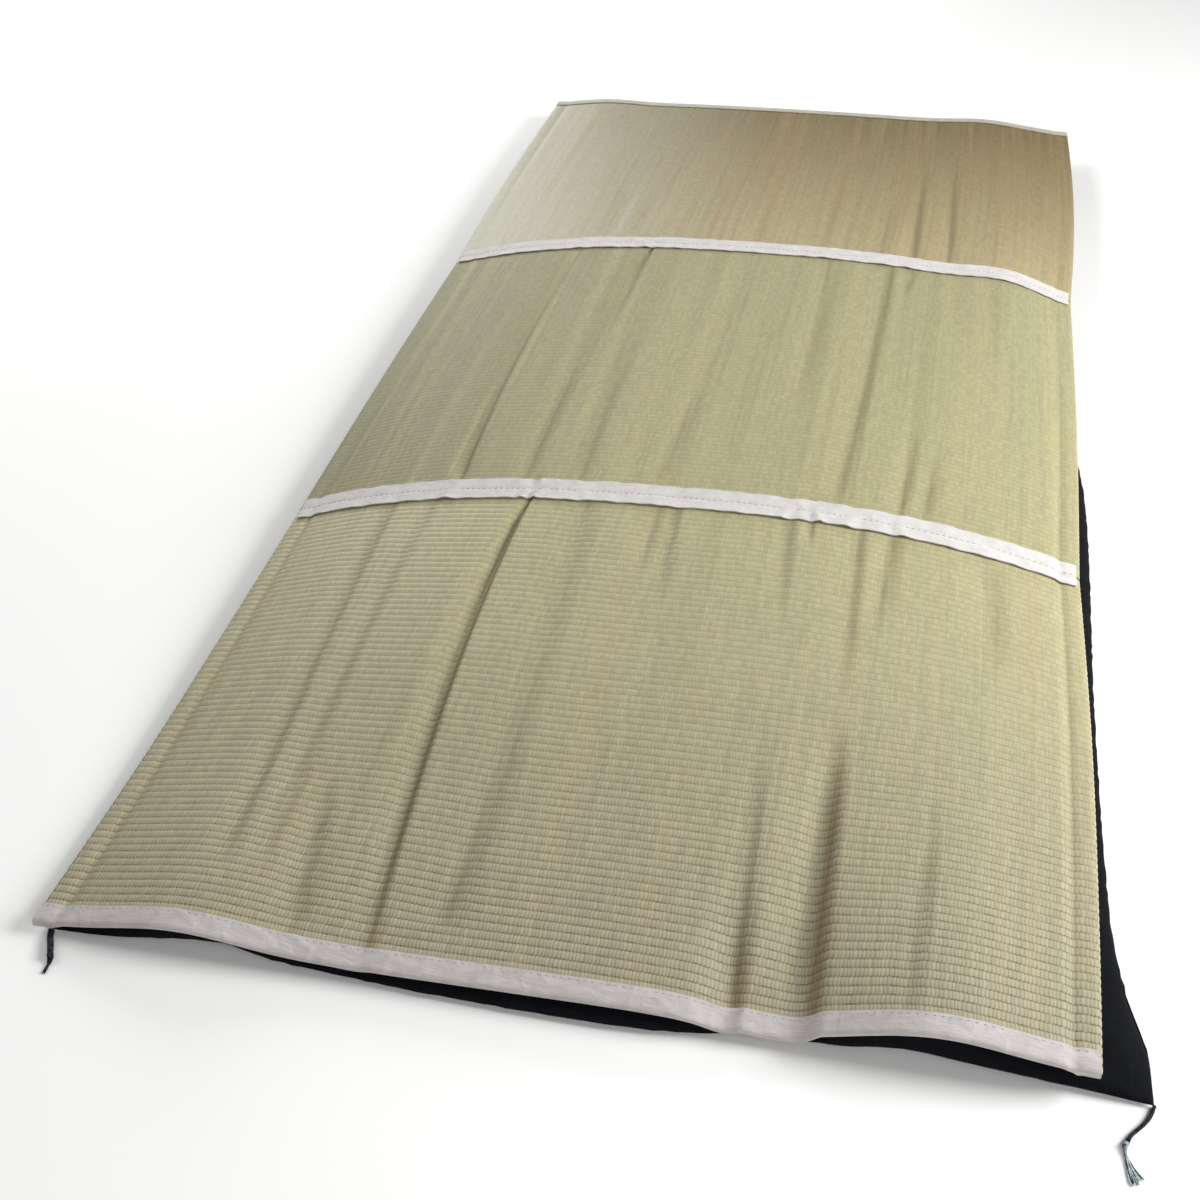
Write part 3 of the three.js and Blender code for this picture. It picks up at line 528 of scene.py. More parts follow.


# %% [markdown]
# Rush from one harvest differs in tone. The foot and middle panels are a pale grey green, and the middle
# one is worn smoother, with painted shade along its left side. The head panel is older: it turns to brown
# straw towards its end, darkened further there by painted shade, has a painted sheen on its left side, is
# full of tan streaks, and is pressed so smooth that its weave hardly shows.

# %% Three tones of rush
RUSH_LOOKS = {
    "foot": {
        "foot_tone": "#A39D86", "head_tone": "#AFAA84", "left_lighting_tone": "#A49D7E", "left_lighting_share": 0.35,
        "old_tone": "#B4A580", "green_tone": "#9A9B74", "streaking": 0.45, "weave": (1.0, 0.35),
        "roughness": 0.6, "shine": 0.3,
    },
    "middle": {
        "foot_tone": "#A9A480", "head_tone": "#A29E7C", "left_lighting_tone": "#8E8B6F", "left_lighting_share": 0.85,
        "old_tone": "#B3A980", "green_tone": "#90936C", "streaking": 0.6, "weave": (0.28, 0.2),
        "roughness": 0.7, "shine": 0.15,
    },
    "head": {
        "foot_tone": "#AFA37F", "head_tone": "#7A6B4C", "left_lighting_tone": "#A09E8A", "left_lighting_share": 0.85,
        "old_tone": "#998561", "green_tone": "#8D8562", "streaking": 0.6, "weave": (0.2, 0.12),
        "roughness": 0.6, "shine": 0.3,
    },
}
rush_materials = {
    panel: rush_matting(f"woven_rush_{panel}", RUSH_LOOKS[panel], end - start, seed)
    for seed, (panel, (start, end)) in enumerate(PANEL_SPANS.items())
}
print("rush materials:", ", ".join(material.name for material in rush_materials.values()))

# %% [markdown]
# ### Cotton cloth
#
# The tapes and bindings are unbleached plain-weave cotton, and the mattress and its tassels are dyed nearly
# black. Cotton is matt, with a faint bloom of loose fibres that a little sheen gives. A real thread is
# about 0.4 mm thick, too fine for this picture, so the weave is drawn at 1.1 mm. Slubs are threads that are
# thicker in places, and they keep the cloth from looking printed.

# %% Cotton material
THREAD_PITCH = 1.1 * MM
COTTON_IOR = 1.46
THREAD_RELIEF_MM = 0.10
SLUB_RELIEF_MM = 0.12


def cotton(name, colour, slub_colour, roughness, sheen, crumple_mm):
    """Plain-weave cotton. crumple_mm is how deep its small soft creases are."""
    material, tree, shader = new_material(name, colour, {
        "Roughness": roughness, "IOR": COTTON_IOR, "Specular IOR Level": 0.12,
        "Sheen Weight": sheen, "Sheen Roughness": 0.5,
    })
    place = add_node(tree, "UVMap", uv_map=CLOTH_MAP)
    split = add_node(tree, "SeparateXYZ", {0: place})
    warp = add_node(tree, "Math", {0: split.outputs[0], 1: THREAD_PITCH}, operation="DIVIDE")
    weft = add_node(tree, "Math", {0: split.outputs[1], 1: THREAD_PITCH}, operation="DIVIDE")
    warp_round = add_node(tree, "Math", {0: warp, 1: 0.5}, operation="PINGPONG")
    weft_round = add_node(tree, "Math", {0: weft, 1: 0.5}, operation="PINGPONG")
    weave = add_node(tree, "Math", {0: warp_round, 1: weft_round}, operation="ADD")

    slub_place = add_node(tree, "Mapping", {"Vector": place, "Scale": (60.0, 900.0, 1.0)})
    slubs = add_node(tree, "TexNoise", {"Vector": slub_place, "Scale": 1.0, "Detail": 2.0})
    crumple = add_node(tree, "TexNoise", {"Vector": place, "Scale": 70.0, "Detail": 3.0, "Distortion": 0.6})
    tone = add_node(tree, "MapRange", {0: slubs, 1: 0.35, 2: 0.7, 3: 0.0, 4: 0.6})
    slubbed = add_node(tree, "Mix", {0: tone, 6: linear(colour), 7: linear(slub_colour)}, data_type="RGBA")
    shade = add_node(tree, "MapRange", {0: crumple, 1: 0.3, 2: 0.7, 3: 0.92, 4: 1.06})
    shaded = add_node(tree, "HueSaturation", {"Value": shade, "Color": slubbed})
    tree.links.new(shaded.outputs[0], shader.inputs["Base Color"])

    relief = add_node(tree, "Math", {0: weave, 1: THREAD_RELIEF_MM}, operation="MULTIPLY")
    for height, tallest in ((slubs, SLUB_RELIEF_MM), (crumple, crumple_mm)):
        relief = add_node(tree, "Math", {0: height, 1: tallest, 2: relief}, operation="MULTIPLY_ADD")
    bump = add_node(tree, "Bump", {"Strength": 1.0, "Distance": MM, "Height": relief})
    tree.links.new(bump.outputs[0], shader.inputs["Normal"])
    return material


tape_cotton = cotton("unbleached_cotton_tape", "#D3D0CD", "#BDB8B4", 0.9, 0.1, 1.1)
binding_cotton = cotton("greyed_cotton_binding", "#C0BAB8", "#A8A1A0", 0.9, 0.1, 1.4)
# The head binding is darker and browner than the tapes: painted shade at the head end.
head_cotton = cotton("head_cotton_binding_painted_shade", "#B9B3A6", "#9A9283", 0.9, 0.1, 1.1)
mattress_cotton = cotton("navy_cotton_ticking", "#0C0D11", "#15171C", 0.95, 0.0, 1.6)
cottons = (tape_cotton, binding_cotton, head_cotton, mattress_cotton)
print("cotton materials:", ", ".join(material.name for material in cottons))

# %% [markdown]
# ## Rush panels
#
# A panel is a sheet about 3 mm thick with its two side edges turned under as hems. It could be one flat
# plane with bump, but the ribs and the turned edges show in its outline, so they are modelled. A grid
# primitive has its columns laid across the panel, round the hem's edge and back under it, and its rows are
# laid four to a rib. Columns are closer together where folds are. Solidify then gives the thickness, less
# of it in the grooves.

# %% Columns across a panel
RUSH_THICK = 2.8 * MM
LAYER_DEPTH = 1.5 * MM
UNDER_INSETS_MM = (18, 12, 6, 1.5)
TURN_ANGLES = np.radians((-50, 0, 50))
TOP_INSETS_MM = (1.5, 5, 10, 15, 18, 19.5, 21, 23, 25.5, 28.5, 32)
FIELD_COLUMNS = 104
FOLD_CROWDING = 9
CROWDING_WIDTH = 8 * MM


def hem_section():
    """Insets and depths from the turned-under edge of a hem, round its fold and onto the top."""
    under = [(inset * MM, 3 * LAYER_DEPTH) for inset in UNDER_INSETS_MM]
    turn = [(LAYER_DEPTH * (1 - math.cos(a)), LAYER_DEPTH * (2 - math.sin(a))) for a in TURN_ANGLES]
    top = [(inset * MM, LAYER_DEPTH) for inset in TOP_INSETS_MM]
    return np.array(under + turn + top)


def field_columns(panel):
    """Distances from the left side, crowded round the folds of that panel."""
    start, end = PANEL_SPANS[panel]
    hem_end = TOP_INSETS_MM[-1] * MM
    fine = np.linspace(hem_end, 2 * MAT_HALF_WIDTH - hem_end, 2000)
    weight = np.ones(len(fine))
    for fold in FOLDS:
        if start < (fold.start_y + fold.end_y) / 2 < end:
            bowed_x = (fold.start_x + fold.end_x) / 2 + fold.bow
            line = MAT_HALF_WIDTH + np.array([fold.start_x, fold.end_x, bowed_x])
            beside = fine - np.clip(fine, line.min(), line.max())
            steepness = deepest(fold) / narrowest(fold)
            weight += FOLD_CROWDING * steepness * bell(beside / CROWDING_WIDTH)
    total = np.concatenate([[0], np.cumsum((weight[1:] + weight[:-1]) / 2)])
    return np.interp(np.linspace(0, total[-1], FIELD_COLUMNS + 1), total, fine)[1:-1]


print("a hem has", len(hem_section()), "columns from its inner edge to the open field")

# %% [markdown]
# The grid is laid by code: each vertex knows its column and row from its place in the flat primitive, and a
# function gives it its place on the cloth. The same helpers serve the tapes, bindings and mattress later.

# %% Helpers that lay a grid as cloth and finish it
SMOOTH_ANGLE = math.radians(60)


def lay_grid(name, columns, rows, place, cloth_place):
    """A grid of columns by rows, each vertex moved to place(column, row), with its UV from cloth_place."""
    bpy.ops.object.select_all(action="DESELECT")
    bpy.ops.mesh.primitive_grid_add(x_subdivisions=columns, y_subdivisions=rows, size=1)
    piece = bpy.context.object
    piece.name = name
    piece.data.name = name
    mesh = piece.data
    flat = np.empty(len(mesh.vertices) * 3)
    mesh.vertices.foreach_get("co", flat)
    flat = flat.reshape(-1, 3)
    column = np.rint((flat[:, 0] + 0.5) * columns).astype(int)
    row = np.rint((flat[:, 1] + 0.5) * rows).astype(int)
    mesh.vertices.foreach_set("co", place(column, row).ravel())
    corners = np.empty(len(mesh.loops), int)
    mesh.loops.foreach_get("vertex_index", corners)
    cloth = cloth_place(column, row)[corners]
    mesh.uv_layers[0].name = CLOTH_MAP
    mesh.uv_layers[0].data.foreach_set("uv", cloth.ravel())
    mesh.update()
    return piece, column, row


def select_only(first, *others):
    """Selects these objects and nothing else, with the first one active."""
    bpy.ops.object.select_all(action="DESELECT")
    for chosen in (first, *others):
        chosen.select_set(True)
    bpy.context.view_layer.objects.active = first


def apply_modifier(piece, kind, **settings):
    """Adds a modifier with its settings and applies it."""
    modifier = piece.modifiers.new(kind.title(), kind)
    for setting, value in settings.items():
        setattr(modifier, setting, value)
    bpy.context.view_layer.objects.active = piece
    bpy.ops.object.modifier_apply(modifier=modifier.name)


def finish_piece(piece, material, node):
    """Smooth shading, a material, and the piece's place in the frame."""
    select_only(piece)
    bpy.ops.object.shade_smooth_by_angle(angle=SMOOTH_ANGLE)
    piece.data.materials.clear()
    piece.data.materials.append(material)
    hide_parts(node)
    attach(piece, "root")


# %% [markdown]
# The ribs of a real mat are never quite straight, so each row wanders by under a millimetre. The wander
# fades out at the panel's ends, where the tapes hold it.

# %% Model the three panels
RIB_PHASES = np.array((0.0, 0.2, 0.5, 0.8))
RIB_FULLNESS = (0.0, 0.8, 1.0, 0.8)
GROOVE_THICKNESS_SHARES = {"foot": 0.6, "middle": 0.78, "head": 0.88}
CREASE_AT = 0.8
CREASE_HALF_WIDTH = 0.5
CREASE_STEEPNESS = 0.6
SEAM_CLEARANCE = 1.5 * MM
RIB_WANDER = 0.9 * MM
WANDER_FADE = 40 * MM


def crease_shade(x, y):
    """How much painted shade a crease gets: 0 on open cloth, 1 just under the ridge of the sharpest creases.
    """
    shade = np.zeros(np.broadcast(x, y).shape)
    for fold in FOLDS:
        depth, across = fold_shape(fold, x, y)
        steepness = depth / narrowest(fold) / CREASE_STEEPNESS
        shade = np.maximum(shade, np.clip(steepness, 0, 1) * bell((across - CREASE_AT) / CREASE_HALF_WIDTH))
    return shade


def rush_panel(panel):
    """One panel of ribbed rush with its two side hems."""
    start, end = PANEL_SPANS[panel]
    start += SEAM_CLEARANCE if start > FOOT_END else 0
    end -= SEAM_CLEARANCE if end < HEAD_END else 0
    hem = hem_section()
    field = field_columns(panel)
    from_left = np.concatenate([hem[:, 0], field, 2 * MAT_HALF_WIDTH - hem[::-1, 0]])
    depth = np.concatenate([hem[:, 1], np.full(len(field), LAYER_DEPTH), hem[::-1, 1]])
    share = (from_left - MAT_HALF_WIDTH) / MAT_HALF_WIDTH
    section_step = np.hypot(np.diff(from_left), np.diff(depth))
    cloth_x = np.concatenate([[0], np.cumsum(section_step)])
    rib_count = round((end - start) / RIB_PITCH)
    rows = np.append((np.arange(rib_count)[:, None] + RIB_PHASES).ravel(), rib_count)
    row_y = start + (end - start) * rows / rib_count

    def place(column, row):
        y = row_y[row]
        x = share[column] * half_width(share[column], y)
        free = ease(y, start, start + WANDER_FADE) * (1 - ease(y, end - WANDER_FADE, end))
        wander = RIB_WANDER * free * (np.sin(11 * x + 3 * y) + 0.6 * np.sin(29 * x - 7 * y + 1))
        return np.stack([x, y + wander, rush_top(x, y) - depth[column]], axis=1)

    def cloth_place(column, row):
        return np.stack([cloth_x[column], rows[row] * RIB_PITCH], axis=1)

    piece, column, row = lay_grid(f"woven_panel_{panel}", len(share) - 1, len(rows) - 1, place, cloth_place)
    shade = piece.data.attributes.new(CREASE_SHADE, "FLOAT", "POINT")
    mat_y = row_y[row]
    mat_x = share[column] * half_width(share[column], mat_y)
    shade.data.foreach_set("value", crease_shade(mat_x, mat_y))
    ribs = piece.vertex_groups.new(name="rib")
    for phase, fullness in enumerate(RIB_FULLNESS):
        ribs.add([int(i) for i in np.flatnonzero(row % len(RIB_PHASES) == phase)], fullness, "REPLACE")
    apply_modifier(piece, "SOLIDIFY", thickness=RUSH_THICK, offset=0, vertex_group="rib",
                   thickness_vertex_group=GROOVE_THICKNESS_SHARES[panel])
    finish_piece(piece, rush_materials[panel], f"rush_panel_{panel}")
    print(f"{piece.name}: {rib_count} ribs, {len(share)} columns, {2 * len(piece.data.polygons)} triangles")


for panel in PANEL_SPANS:
    rush_panel(panel)

# %% [markdown]
# ## Joint tapes
#
# At each joint a cotton tape is sewn over the ends of two panels and another under them, with one line of
# stitches along the middle. Each is its own strip, laid over the folds. Its foot-side edge stands a little
# off the rush and throws a thin shadow. Where a fold runs into it, the tape puckers.

# %% Strips of cotton
TAPE_END_INSET = 3 * MM
TAPE_THICK = 1.1 * MM
TAPE_LIFT = 0.95 * MM
TAPE_COLUMNS = 230
EDGE_WANDER = 0.9 * MM
EDGE_FLUTTER = 0.45 * MM
FOOT_EDGE_LIFT = 0.5 * MM
FOOT_EDGE_WIDTH = 5 * MM
SEAM_DEPTH = 0.6 * MM
SEAM_HALF_WIDTH = 1.6 * MM
DEEPEST_PUCKER = 0.2 * MM
HEM_TOTAL_THICK = 6 * MM
FIELD_TOTAL_THICK = 3 * MM
TAPE_OFFSETS_MM = (-19, -18.2, -16, -12, -7, -3, -1, 0, 1, 3, 7, 12, 16, 18.2, 19)
# Each pucker: its place across the mat, its half width, its height, and how far it slants over the tape.
TAPE_PUCKERS = {
    "foot": MM * np.array([
        [-158, 4, 2.2, 8], [-149, 3, -1.2, -6], [-143, 4, 1.8, 9], [-250, 7, 1.5, 5], [-98, 8, 1.1, -6],
        [-14, 7, 1.0, 4], [127, 5, 1.5, 5], [157, 4, 2.2, -6], [199, 6, 1.8, 7], [246, 6, 1.2, -5],
        [340, 9, 1.0, 5],
    ]),
    "head": MM * np.array([
        [-250, 7, 0.9, 5], [-216, 9, 0.9, -5], [-150, 6, 1.4, 6], [-62, 6, 0.9, -4], [103, 7, 1.0, 5],
        [170, 9, 1.1, -6], [219, 7, 1.2, 6], [268, 6, 1.0, -5], [352, 9, 0.6, 4],
    ]),
}


def total_thickness(x, y):
    """The rush's thickness: two layers along a side hem, and one between the hems."""
    inset = half_width(x, y) - np.abs(x)
    return mix(HEM_TOTAL_THICK, FIELD_TOTAL_THICK, ease(inset, HEM_WIDTH - MM, HEM_WIDTH + 2 * MM))


def puckering(table, x, offset):
    """Small ridges and dents across a tape."""
    return sum(height * bell((x - at_x - slant * offset / TAPE_HALF_WIDTH) / half)
               for at_x, half, height, slant in table)


def flutter(x, start):
    """An uneven wave between about -1 and 1, for the loose edges of a sewn strip."""
    waves = [(23, 0.3), (37, 0.35), (61, 0.3), (109, 0.35)]
    return sum(share * np.sin(2 * math.pi * x / (length * MM) + (i + 1) * start)
               for i, (length, share) in enumerate(waves))


def joint_tape(joint, side):
    """One tape over or under a joint."""
    middle = {"foot": FOOT_TAPE, "head": HEAD_TAPE}[joint]
    offsets = MM * np.array(TAPE_OFFSETS_MM)
    shares = np.linspace(-1, 1, TAPE_COLUMNS + 1) * (1 - TAPE_END_INSET / MAT_HALF_WIDTH)

    def place(column, row):
        offset = offsets[row]
        y = middle + offset
        x = shares[column] * half_width(shares[column], y)
        share = offset / TAPE_HALF_WIDTH
        edge = EDGE_WANDER * flutter(x, 1.3 if joint == "foot" else 2.1)
        top = rush_top(x, y)
        if side == "over":
            pucker = puckering(TAPE_PUCKERS[joint], x, offset) * (0.6 - 0.4 * share)
            pucker = np.maximum(pucker, -DEEPEST_PUCKER)
            loose = EDGE_FLUTTER * share**2 * (1 + flutter(x, 0.7))
            edge_lift = FOOT_EDGE_LIFT * bell((offset + TAPE_HALF_WIDTH) / FOOT_EDGE_WIDTH)
            sewn_down = SEAM_DEPTH * bell(offset / SEAM_HALF_WIDTH)
            z = top + TAPE_LIFT + pucker + loose + edge_lift - sewn_down
        else:
            z = top - total_thickness(x, y) - TAPE_LIFT
        return np.stack([x, y + edge * np.abs(share), z], axis=1)

    def cloth_place(column, row):
        return np.stack([(shares[column] + 1) * MAT_HALF_WIDTH, offsets[row] + TAPE_HALF_WIDTH], axis=1)

    piece, _, _ = lay_grid(f"cotton_tape_{joint}_{side}", TAPE_COLUMNS, len(offsets) - 1, place, cloth_place)
    apply_modifier(piece, "SOLIDIFY", thickness=TAPE_THICK, offset=0)
    finish_piece(piece, tape_cotton, f"joint_tape_{joint}")
    print(f"{piece.name}: {2 * len(piece.data.polygons)} triangles")


for joint in ("foot", "head"):
    for side in ("over", "under"):
        joint_tape(joint, side)

# %% [markdown]
# ## End bindings
#
# The foot and head ends are closed by a strip of the same cotton, folded round the rush. It is cut on the
# straight and the edge under it swells and dips, so it wrinkles in short slanting creases, which are listed
# one by one. The strip's section is laid from its inner edge over the top, round the end and back underneath.

# %% Model the two bindings
BINDING_THICK = 1.1 * MM
BINDING_LIFT = 0.95 * MM
BINDING_REACH = 0.9 * MM
BINDING_FULLNESS = 0.25
BINDING_TURN_STEP = 1.2 * MM
BINDING_COLUMNS = 260
BINDING_SHARES = (1.0, 0.96, 0.86, 0.72, 0.56, 0.4, 0.24, 0.1)
BINDING_TURN = np.radians((75, 45, 15, -15, -45, -75))
# Each wrinkle: its place across the mat, its place from the end inwards, its half length, its half width,
# its height, and how far it slants over its length.
BINDING_WRINKLES = {
    "foot": MM * np.array([
        [-305, 11, 14, 2.2, 1.1, -7], [-291, 6, 11, 2, -0.5, -5], [-236, 10, 13, 2.4, 1.0, -6],
        [-205, 12, 17, 2.6, 1.5, -9], [-196, 5, 14, 2.2, -0.6, -7], [-120, 9, 20, 2.6, 0.8, -4],
        [-60, 12, 24, 2.4, 0.7, 3], [20, 8, 22, 2.4, 0.7, -3], [78, 11, 13, 2.2, 0.9, 5],
        [104, 8, 12, 2.4, 1.2, -7], [148, 12, 14, 2.4, 1.1, 6], [186, 7, 13, 2.2, 1.2, -6],
        [240, 11, 20, 2.4, 0.8, 4], [318, 8, 24, 2.4, 0.7, -4], [372, 11, 16, 2.2, 0.8, 5],
        [-380, 9, 20, 2.4, 0.7, 4], [-425, 9, 3, 7, 0.9, 0], [424, 9, 3, 7, 0.9, 0],
    ]),
    "head": MM * np.array([
        [-350, 8, 16, 2.2, 0.7, 4], [-240, 8, 18, 2.2, 0.8, -4], [-120, 8, 20, 2.2, 0.6, 3],
        [-10, 7, 18, 2.2, 0.6, -3], [110, 8, 18, 2.2, 0.7, 4], [220, 8, 16, 2.2, 0.9, -5],
        [300, 8, 16, 2.2, 0.7, 4], [390, 8, 14, 2.2, 0.8, -4],
    ]),
}


def wrinkling(table, x, inward):
    """Short slanting creases on a binding."""
    total = np.zeros(len(x))
    for at_x, at_inward, half_length, half_wide, height, slant in table:
        along = (x - at_x) / half_length
        total += height * bell(along) * bell((inward - at_inward - slant * along) / half_wide)
    return total


def end_binding(end):
    """A strip of cotton folded round one end of the mat."""
    end_y = {"foot": FOOT_END, "head": HEAD_END}[end]
    outward = math.copysign(1, end_y)
    width = BINDING_WIDTHS[end]
    flat_part = len(BINDING_SHARES)
    inward = np.concatenate([width * np.array(BINDING_SHARES), np.zeros(len(BINDING_TURN)),
                             width * np.array(BINDING_SHARES[::-1])])
    turn = np.concatenate([np.full(flat_part, math.pi / 2), BINDING_TURN, np.full(flat_part, -math.pi / 2)])
    shares = np.linspace(-1, 1, BINDING_COLUMNS + 1)

    def place(column, row):
        share = shares[column]
        y = end_y - outward * inward[row]
        x = share * half_width(share, y)
        thick = total_thickness(x, y)
        half_height = thick / 2 + BINDING_LIFT
        middle = rush_top(x, y) - thick / 2
        reach = (BINDING_REACH + BINDING_FULLNESS * half_height) * np.cos(turn[row])
        wrinkles = wrinkling(BINDING_WRINKLES[end], x, inward[row])
        z = middle + half_height * np.sin(turn[row]) + np.where(turn[row] > 0, wrinkles, 0)
        return np.stack([x, y + outward * reach, z], axis=1)

    def cloth_place(column, row):
        steps = np.abs(np.diff(inward)) + BINDING_TURN_STEP * (np.diff(turn) != 0)
        travelled = np.concatenate([[0], np.cumsum(steps)])
        return np.stack([(shares[column] + 1) * MAT_HALF_WIDTH, travelled[row]], axis=1)

    piece, _, _ = lay_grid(f"folded_binding_{end}", BINDING_COLUMNS, len(inward) - 1, place, cloth_place)
    apply_modifier(piece, "SOLIDIFY", thickness=BINDING_THICK, offset=0)
    material = {"foot": binding_cotton, "head": head_cotton}[end]
    finish_piece(piece, material, f"end_binding_{end}")
    print(f"{piece.name}: {2 * len(piece.data.polygons)} triangles")


for end in ("foot", "head"):
    end_binding(end)

# %% [markdown]
# ## Stitches
#
# A running stitch holds each tape along its middle and each binding near its inner edge. One stitch is a
# stretched icosphere: a few dozen faces are enough, because hundreds of them are copied along each line.
# They are joined into one mesh for each line.

# %% Sew the lines of stitches
STITCH_LENGTH = 4.2 * MM
STITCH_PITCH = 6.5 * MM
STITCH_RADIUS = 0.42 * MM
STITCH_LINE_INSET = 6 * MM
# The thread is greyer than the tape: painted shade of the dimples the stitches sit in.
thread_cotton = cotton("sewing_thread", "#B9B6B4", "#A7A3A0", 0.8, 0.2, 0.2)


def stitch_line(name, y, top_offset):
    """One line of stitches across the mat, on the cloth at y."""
    bpy.ops.object.select_all(action="DESELECT")
    bpy.ops.mesh.primitive_ico_sphere_add(subdivisions=1, radius=1)
    stitch = bpy.context.object
    ball = np.empty(len(stitch.data.vertices) * 3)
    stitch.data.vertices.foreach_get("co", ball)
    ball = ball.reshape(-1, 3) * (STITCH_LENGTH / 2, STITCH_RADIUS, STITCH_RADIUS)
    faces = np.array([polygon.vertices[:] for polygon in stitch.data.polygons])
    reach = float(half_width(0.0, y)) - STITCH_LINE_INSET
    middles = np.arange(-reach, reach, STITCH_PITCH)
    slope = (rush_top(middles + MM, y) - rush_top(middles - MM, y)) / (2 * MM)
    tilt = np.arctan(slope)
    x = middles[:, None] + ball[:, 0] * np.cos(tilt)[:, None] - ball[:, 2] * np.sin(tilt)[:, None]
    z = (rush_top(middles, y) + top_offset)[:, None] + ball[:, 0] * np.sin(tilt)[:, None] + ball[:, 2]
    points = np.stack([x, np.broadcast_to(y + ball[:, 1], x.shape), z], axis=2).reshape(-1, 3)
    all_faces = (faces[None] + len(ball) * np.arange(len(middles))[:, None, None]).reshape(-1, 3)
    mesh = bpy.data.meshes.new(name)
    mesh.from_pydata(points.tolist(), [], all_faces.tolist())
    mesh.uv_layers.new(name=CLOTH_MAP)
    stitch.data = mesh
    stitch.name = name
    bpy.ops.object.shade_smooth()
    mesh.materials.append(thread_cotton)
    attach(stitch, "root")
    print(f"{name}: {len(middles)} stitches")


TAPE_STITCH_HEIGHT = TAPE_LIFT + TAPE_THICK / 2 - 0.35 * MM
BINDING_STITCH_HEIGHT = BINDING_LIFT + BINDING_THICK / 2
STITCH_LINES = [
    ("tape_stitches_foot", FOOT_TAPE, TAPE_STITCH_HEIGHT),
    ("tape_stitches_head", HEAD_TAPE, TAPE_STITCH_HEIGHT),
    ("binding_stitches_foot", FOOT_END + 16 * MM, BINDING_STITCH_HEIGHT),
    ("binding_stitches_head", HEAD_END - 13 * MM, BINDING_STITCH_HEIGHT),
]
for line in STITCH_LINES:
    stitch_line(*line)

# %% [markdown]
# ## Mattress
#
# The mattress is a thin cotton pad in a dark cover, sewn from a top and a bottom cloth, with pointed
# corners. Most of it is hidden, but its edge shows all round, so that is where its shape matters: a rounded
# rim, a seam with puckers, and creases that run to the corner tips. Its top lies just under the mat.

# %% Outline of the mattress
SIDE_ROWS = {
    "left": MM * np.array([
        [-989, -432], [-940, -420], [-850, -404], [0, -398], [850, -404], [940, -418], [990, -430],
    ]),
    "right": MM * np.array([
        [-992, 490], [-950, 487], [-904, 474], [-824, 463], [-540, 456], [-170, 455],
        [60, 438], [300, 438], [650, 420], [930, 410], [990, 424],
    ]),
}
END_ROWS = {
    "foot": MM * np.array([
        [-432, -989], [-364, -987], [-283, -979], [-230, -987], [-173, -991], [-94, -996], [57, -999],
        [120, -995], [190, -981], [245, -985], [300, -980], [360, -985], [446, -989], [490, -992],
    ]),
    "head": MM * np.array([
        [-430, 990], [-360, 982], [0, 981], [360, 982], [424, 990],
    ]),
}
MATTRESS_CLEARANCE = 2 * MM
MATTRESS_ROUNDING = 60 * MM
SEAM_SHARE = 0.4
TIP_HEIGHT = 3 * MM
TIP_REACH = 60 * MM
BOTTOM_ROUNDING = 12 * MM
HEM_ROOM = (55 * MM, 80 * MM)
CORNERS = np.array([rows[i] for rows in END_ROWS.values() for i in (0, -1)])


def side_x(side, y):
    """Where one side of the mattress's seam lies, at a place along it."""
    return smooth_through(SIDE_ROWS[side][:, 0], SIDE_ROWS[side][:, 1], y)


def end_y(end, x):
    """Where one end of the mattress's seam lies, at a place across it."""
    return smooth_through(END_ROWS[end][:, 0], END_ROWS[end][:, 1], x)


def near_corner(x, y):
    """1 at a pointed corner of the mattress, falling to 0 away from it."""
    return np.max([bell(np.hypot(x - tip[0], y - tip[1]) / TIP_REACH) for tip in CORNERS], axis=0)


def under_mat(x, y, spread):
    """The lowest the mat's underside comes within a spread of a place, less the clearance."""
    heights = []
    for step_x in (-spread, -spread / 2, 0, spread / 2, spread):
        for step_y in (-spread, 0, spread):
            half = half_width(x, y)
            near_x = np.clip(x + step_x, -half, half)
            near_y = np.clip(y + step_y, FOOT_END, HEAD_END)
            inset = half - np.abs(near_x)
            thick = mix(HEM_TOTAL_THICK, FIELD_TOTAL_THICK, ease(inset, *HEM_ROOM))
            heights.append(rush_top(near_x, near_y) - thick - MATTRESS_CLEARANCE)
    return np.min(heights, axis=0)


print("mattress width at its middle:", round(float(side_x("right", 0.0) - side_x("left", 0.0)), 3), "m")

# %% [markdown]
# The pad is laid as two grids, a top and a bottom, that meet in the seam. Rows and columns crowd towards
# the seam, where the cloth puckers between its stitches. Only the middle of the grid stretches where the
# outline is wider or narrower, so the rim keeps its form all the way round.

# %% Grid of the mattress
RIM_INSETS = MM * np.array((0, 1.5, 4, 8, 13, 19, 26, 34, 42))
RIM_WIDTH = RIM_INSETS[-1]
INNER_STEP = 8.5 * MM


def grid_places(low, high):
    """Places from one seam to the other: crowded near each seam, and even between them."""
    count = round((high - low - 2 * RIM_WIDTH) / INNER_STEP)
    inner = np.linspace(low + RIM_WIDTH, high - RIM_WIDTH, count + 1)[1:-1]
    return np.concatenate([low + RIM_INSETS, inner, high - RIM_INSETS[::-1]])


def fitted(places, index, low, high):
    """A grid place moved between low and high, with both rims kept as wide as they are."""
    start, end = places[0], places[-1]
    place = places[index]
    middle = np.clip((place - start - RIM_WIDTH) / (end - start - 2 * RIM_WIDTH), 0, 1)
    rims = np.minimum(place - start, RIM_WIDTH) + RIM_WIDTH - np.minimum(end - place, RIM_WIDTH)
    return low + rims + middle * (high - low - 2 * RIM_WIDTH)


columns_at = grid_places(float(side_x("left", 0.0)), float(side_x("right", 0.0)))
rows_at = grid_places(float(end_y("foot", 0.0)), float(end_y("head", 0.0)))
print("mattress grid:", len(columns_at), "columns by", len(rows_at), "rows")

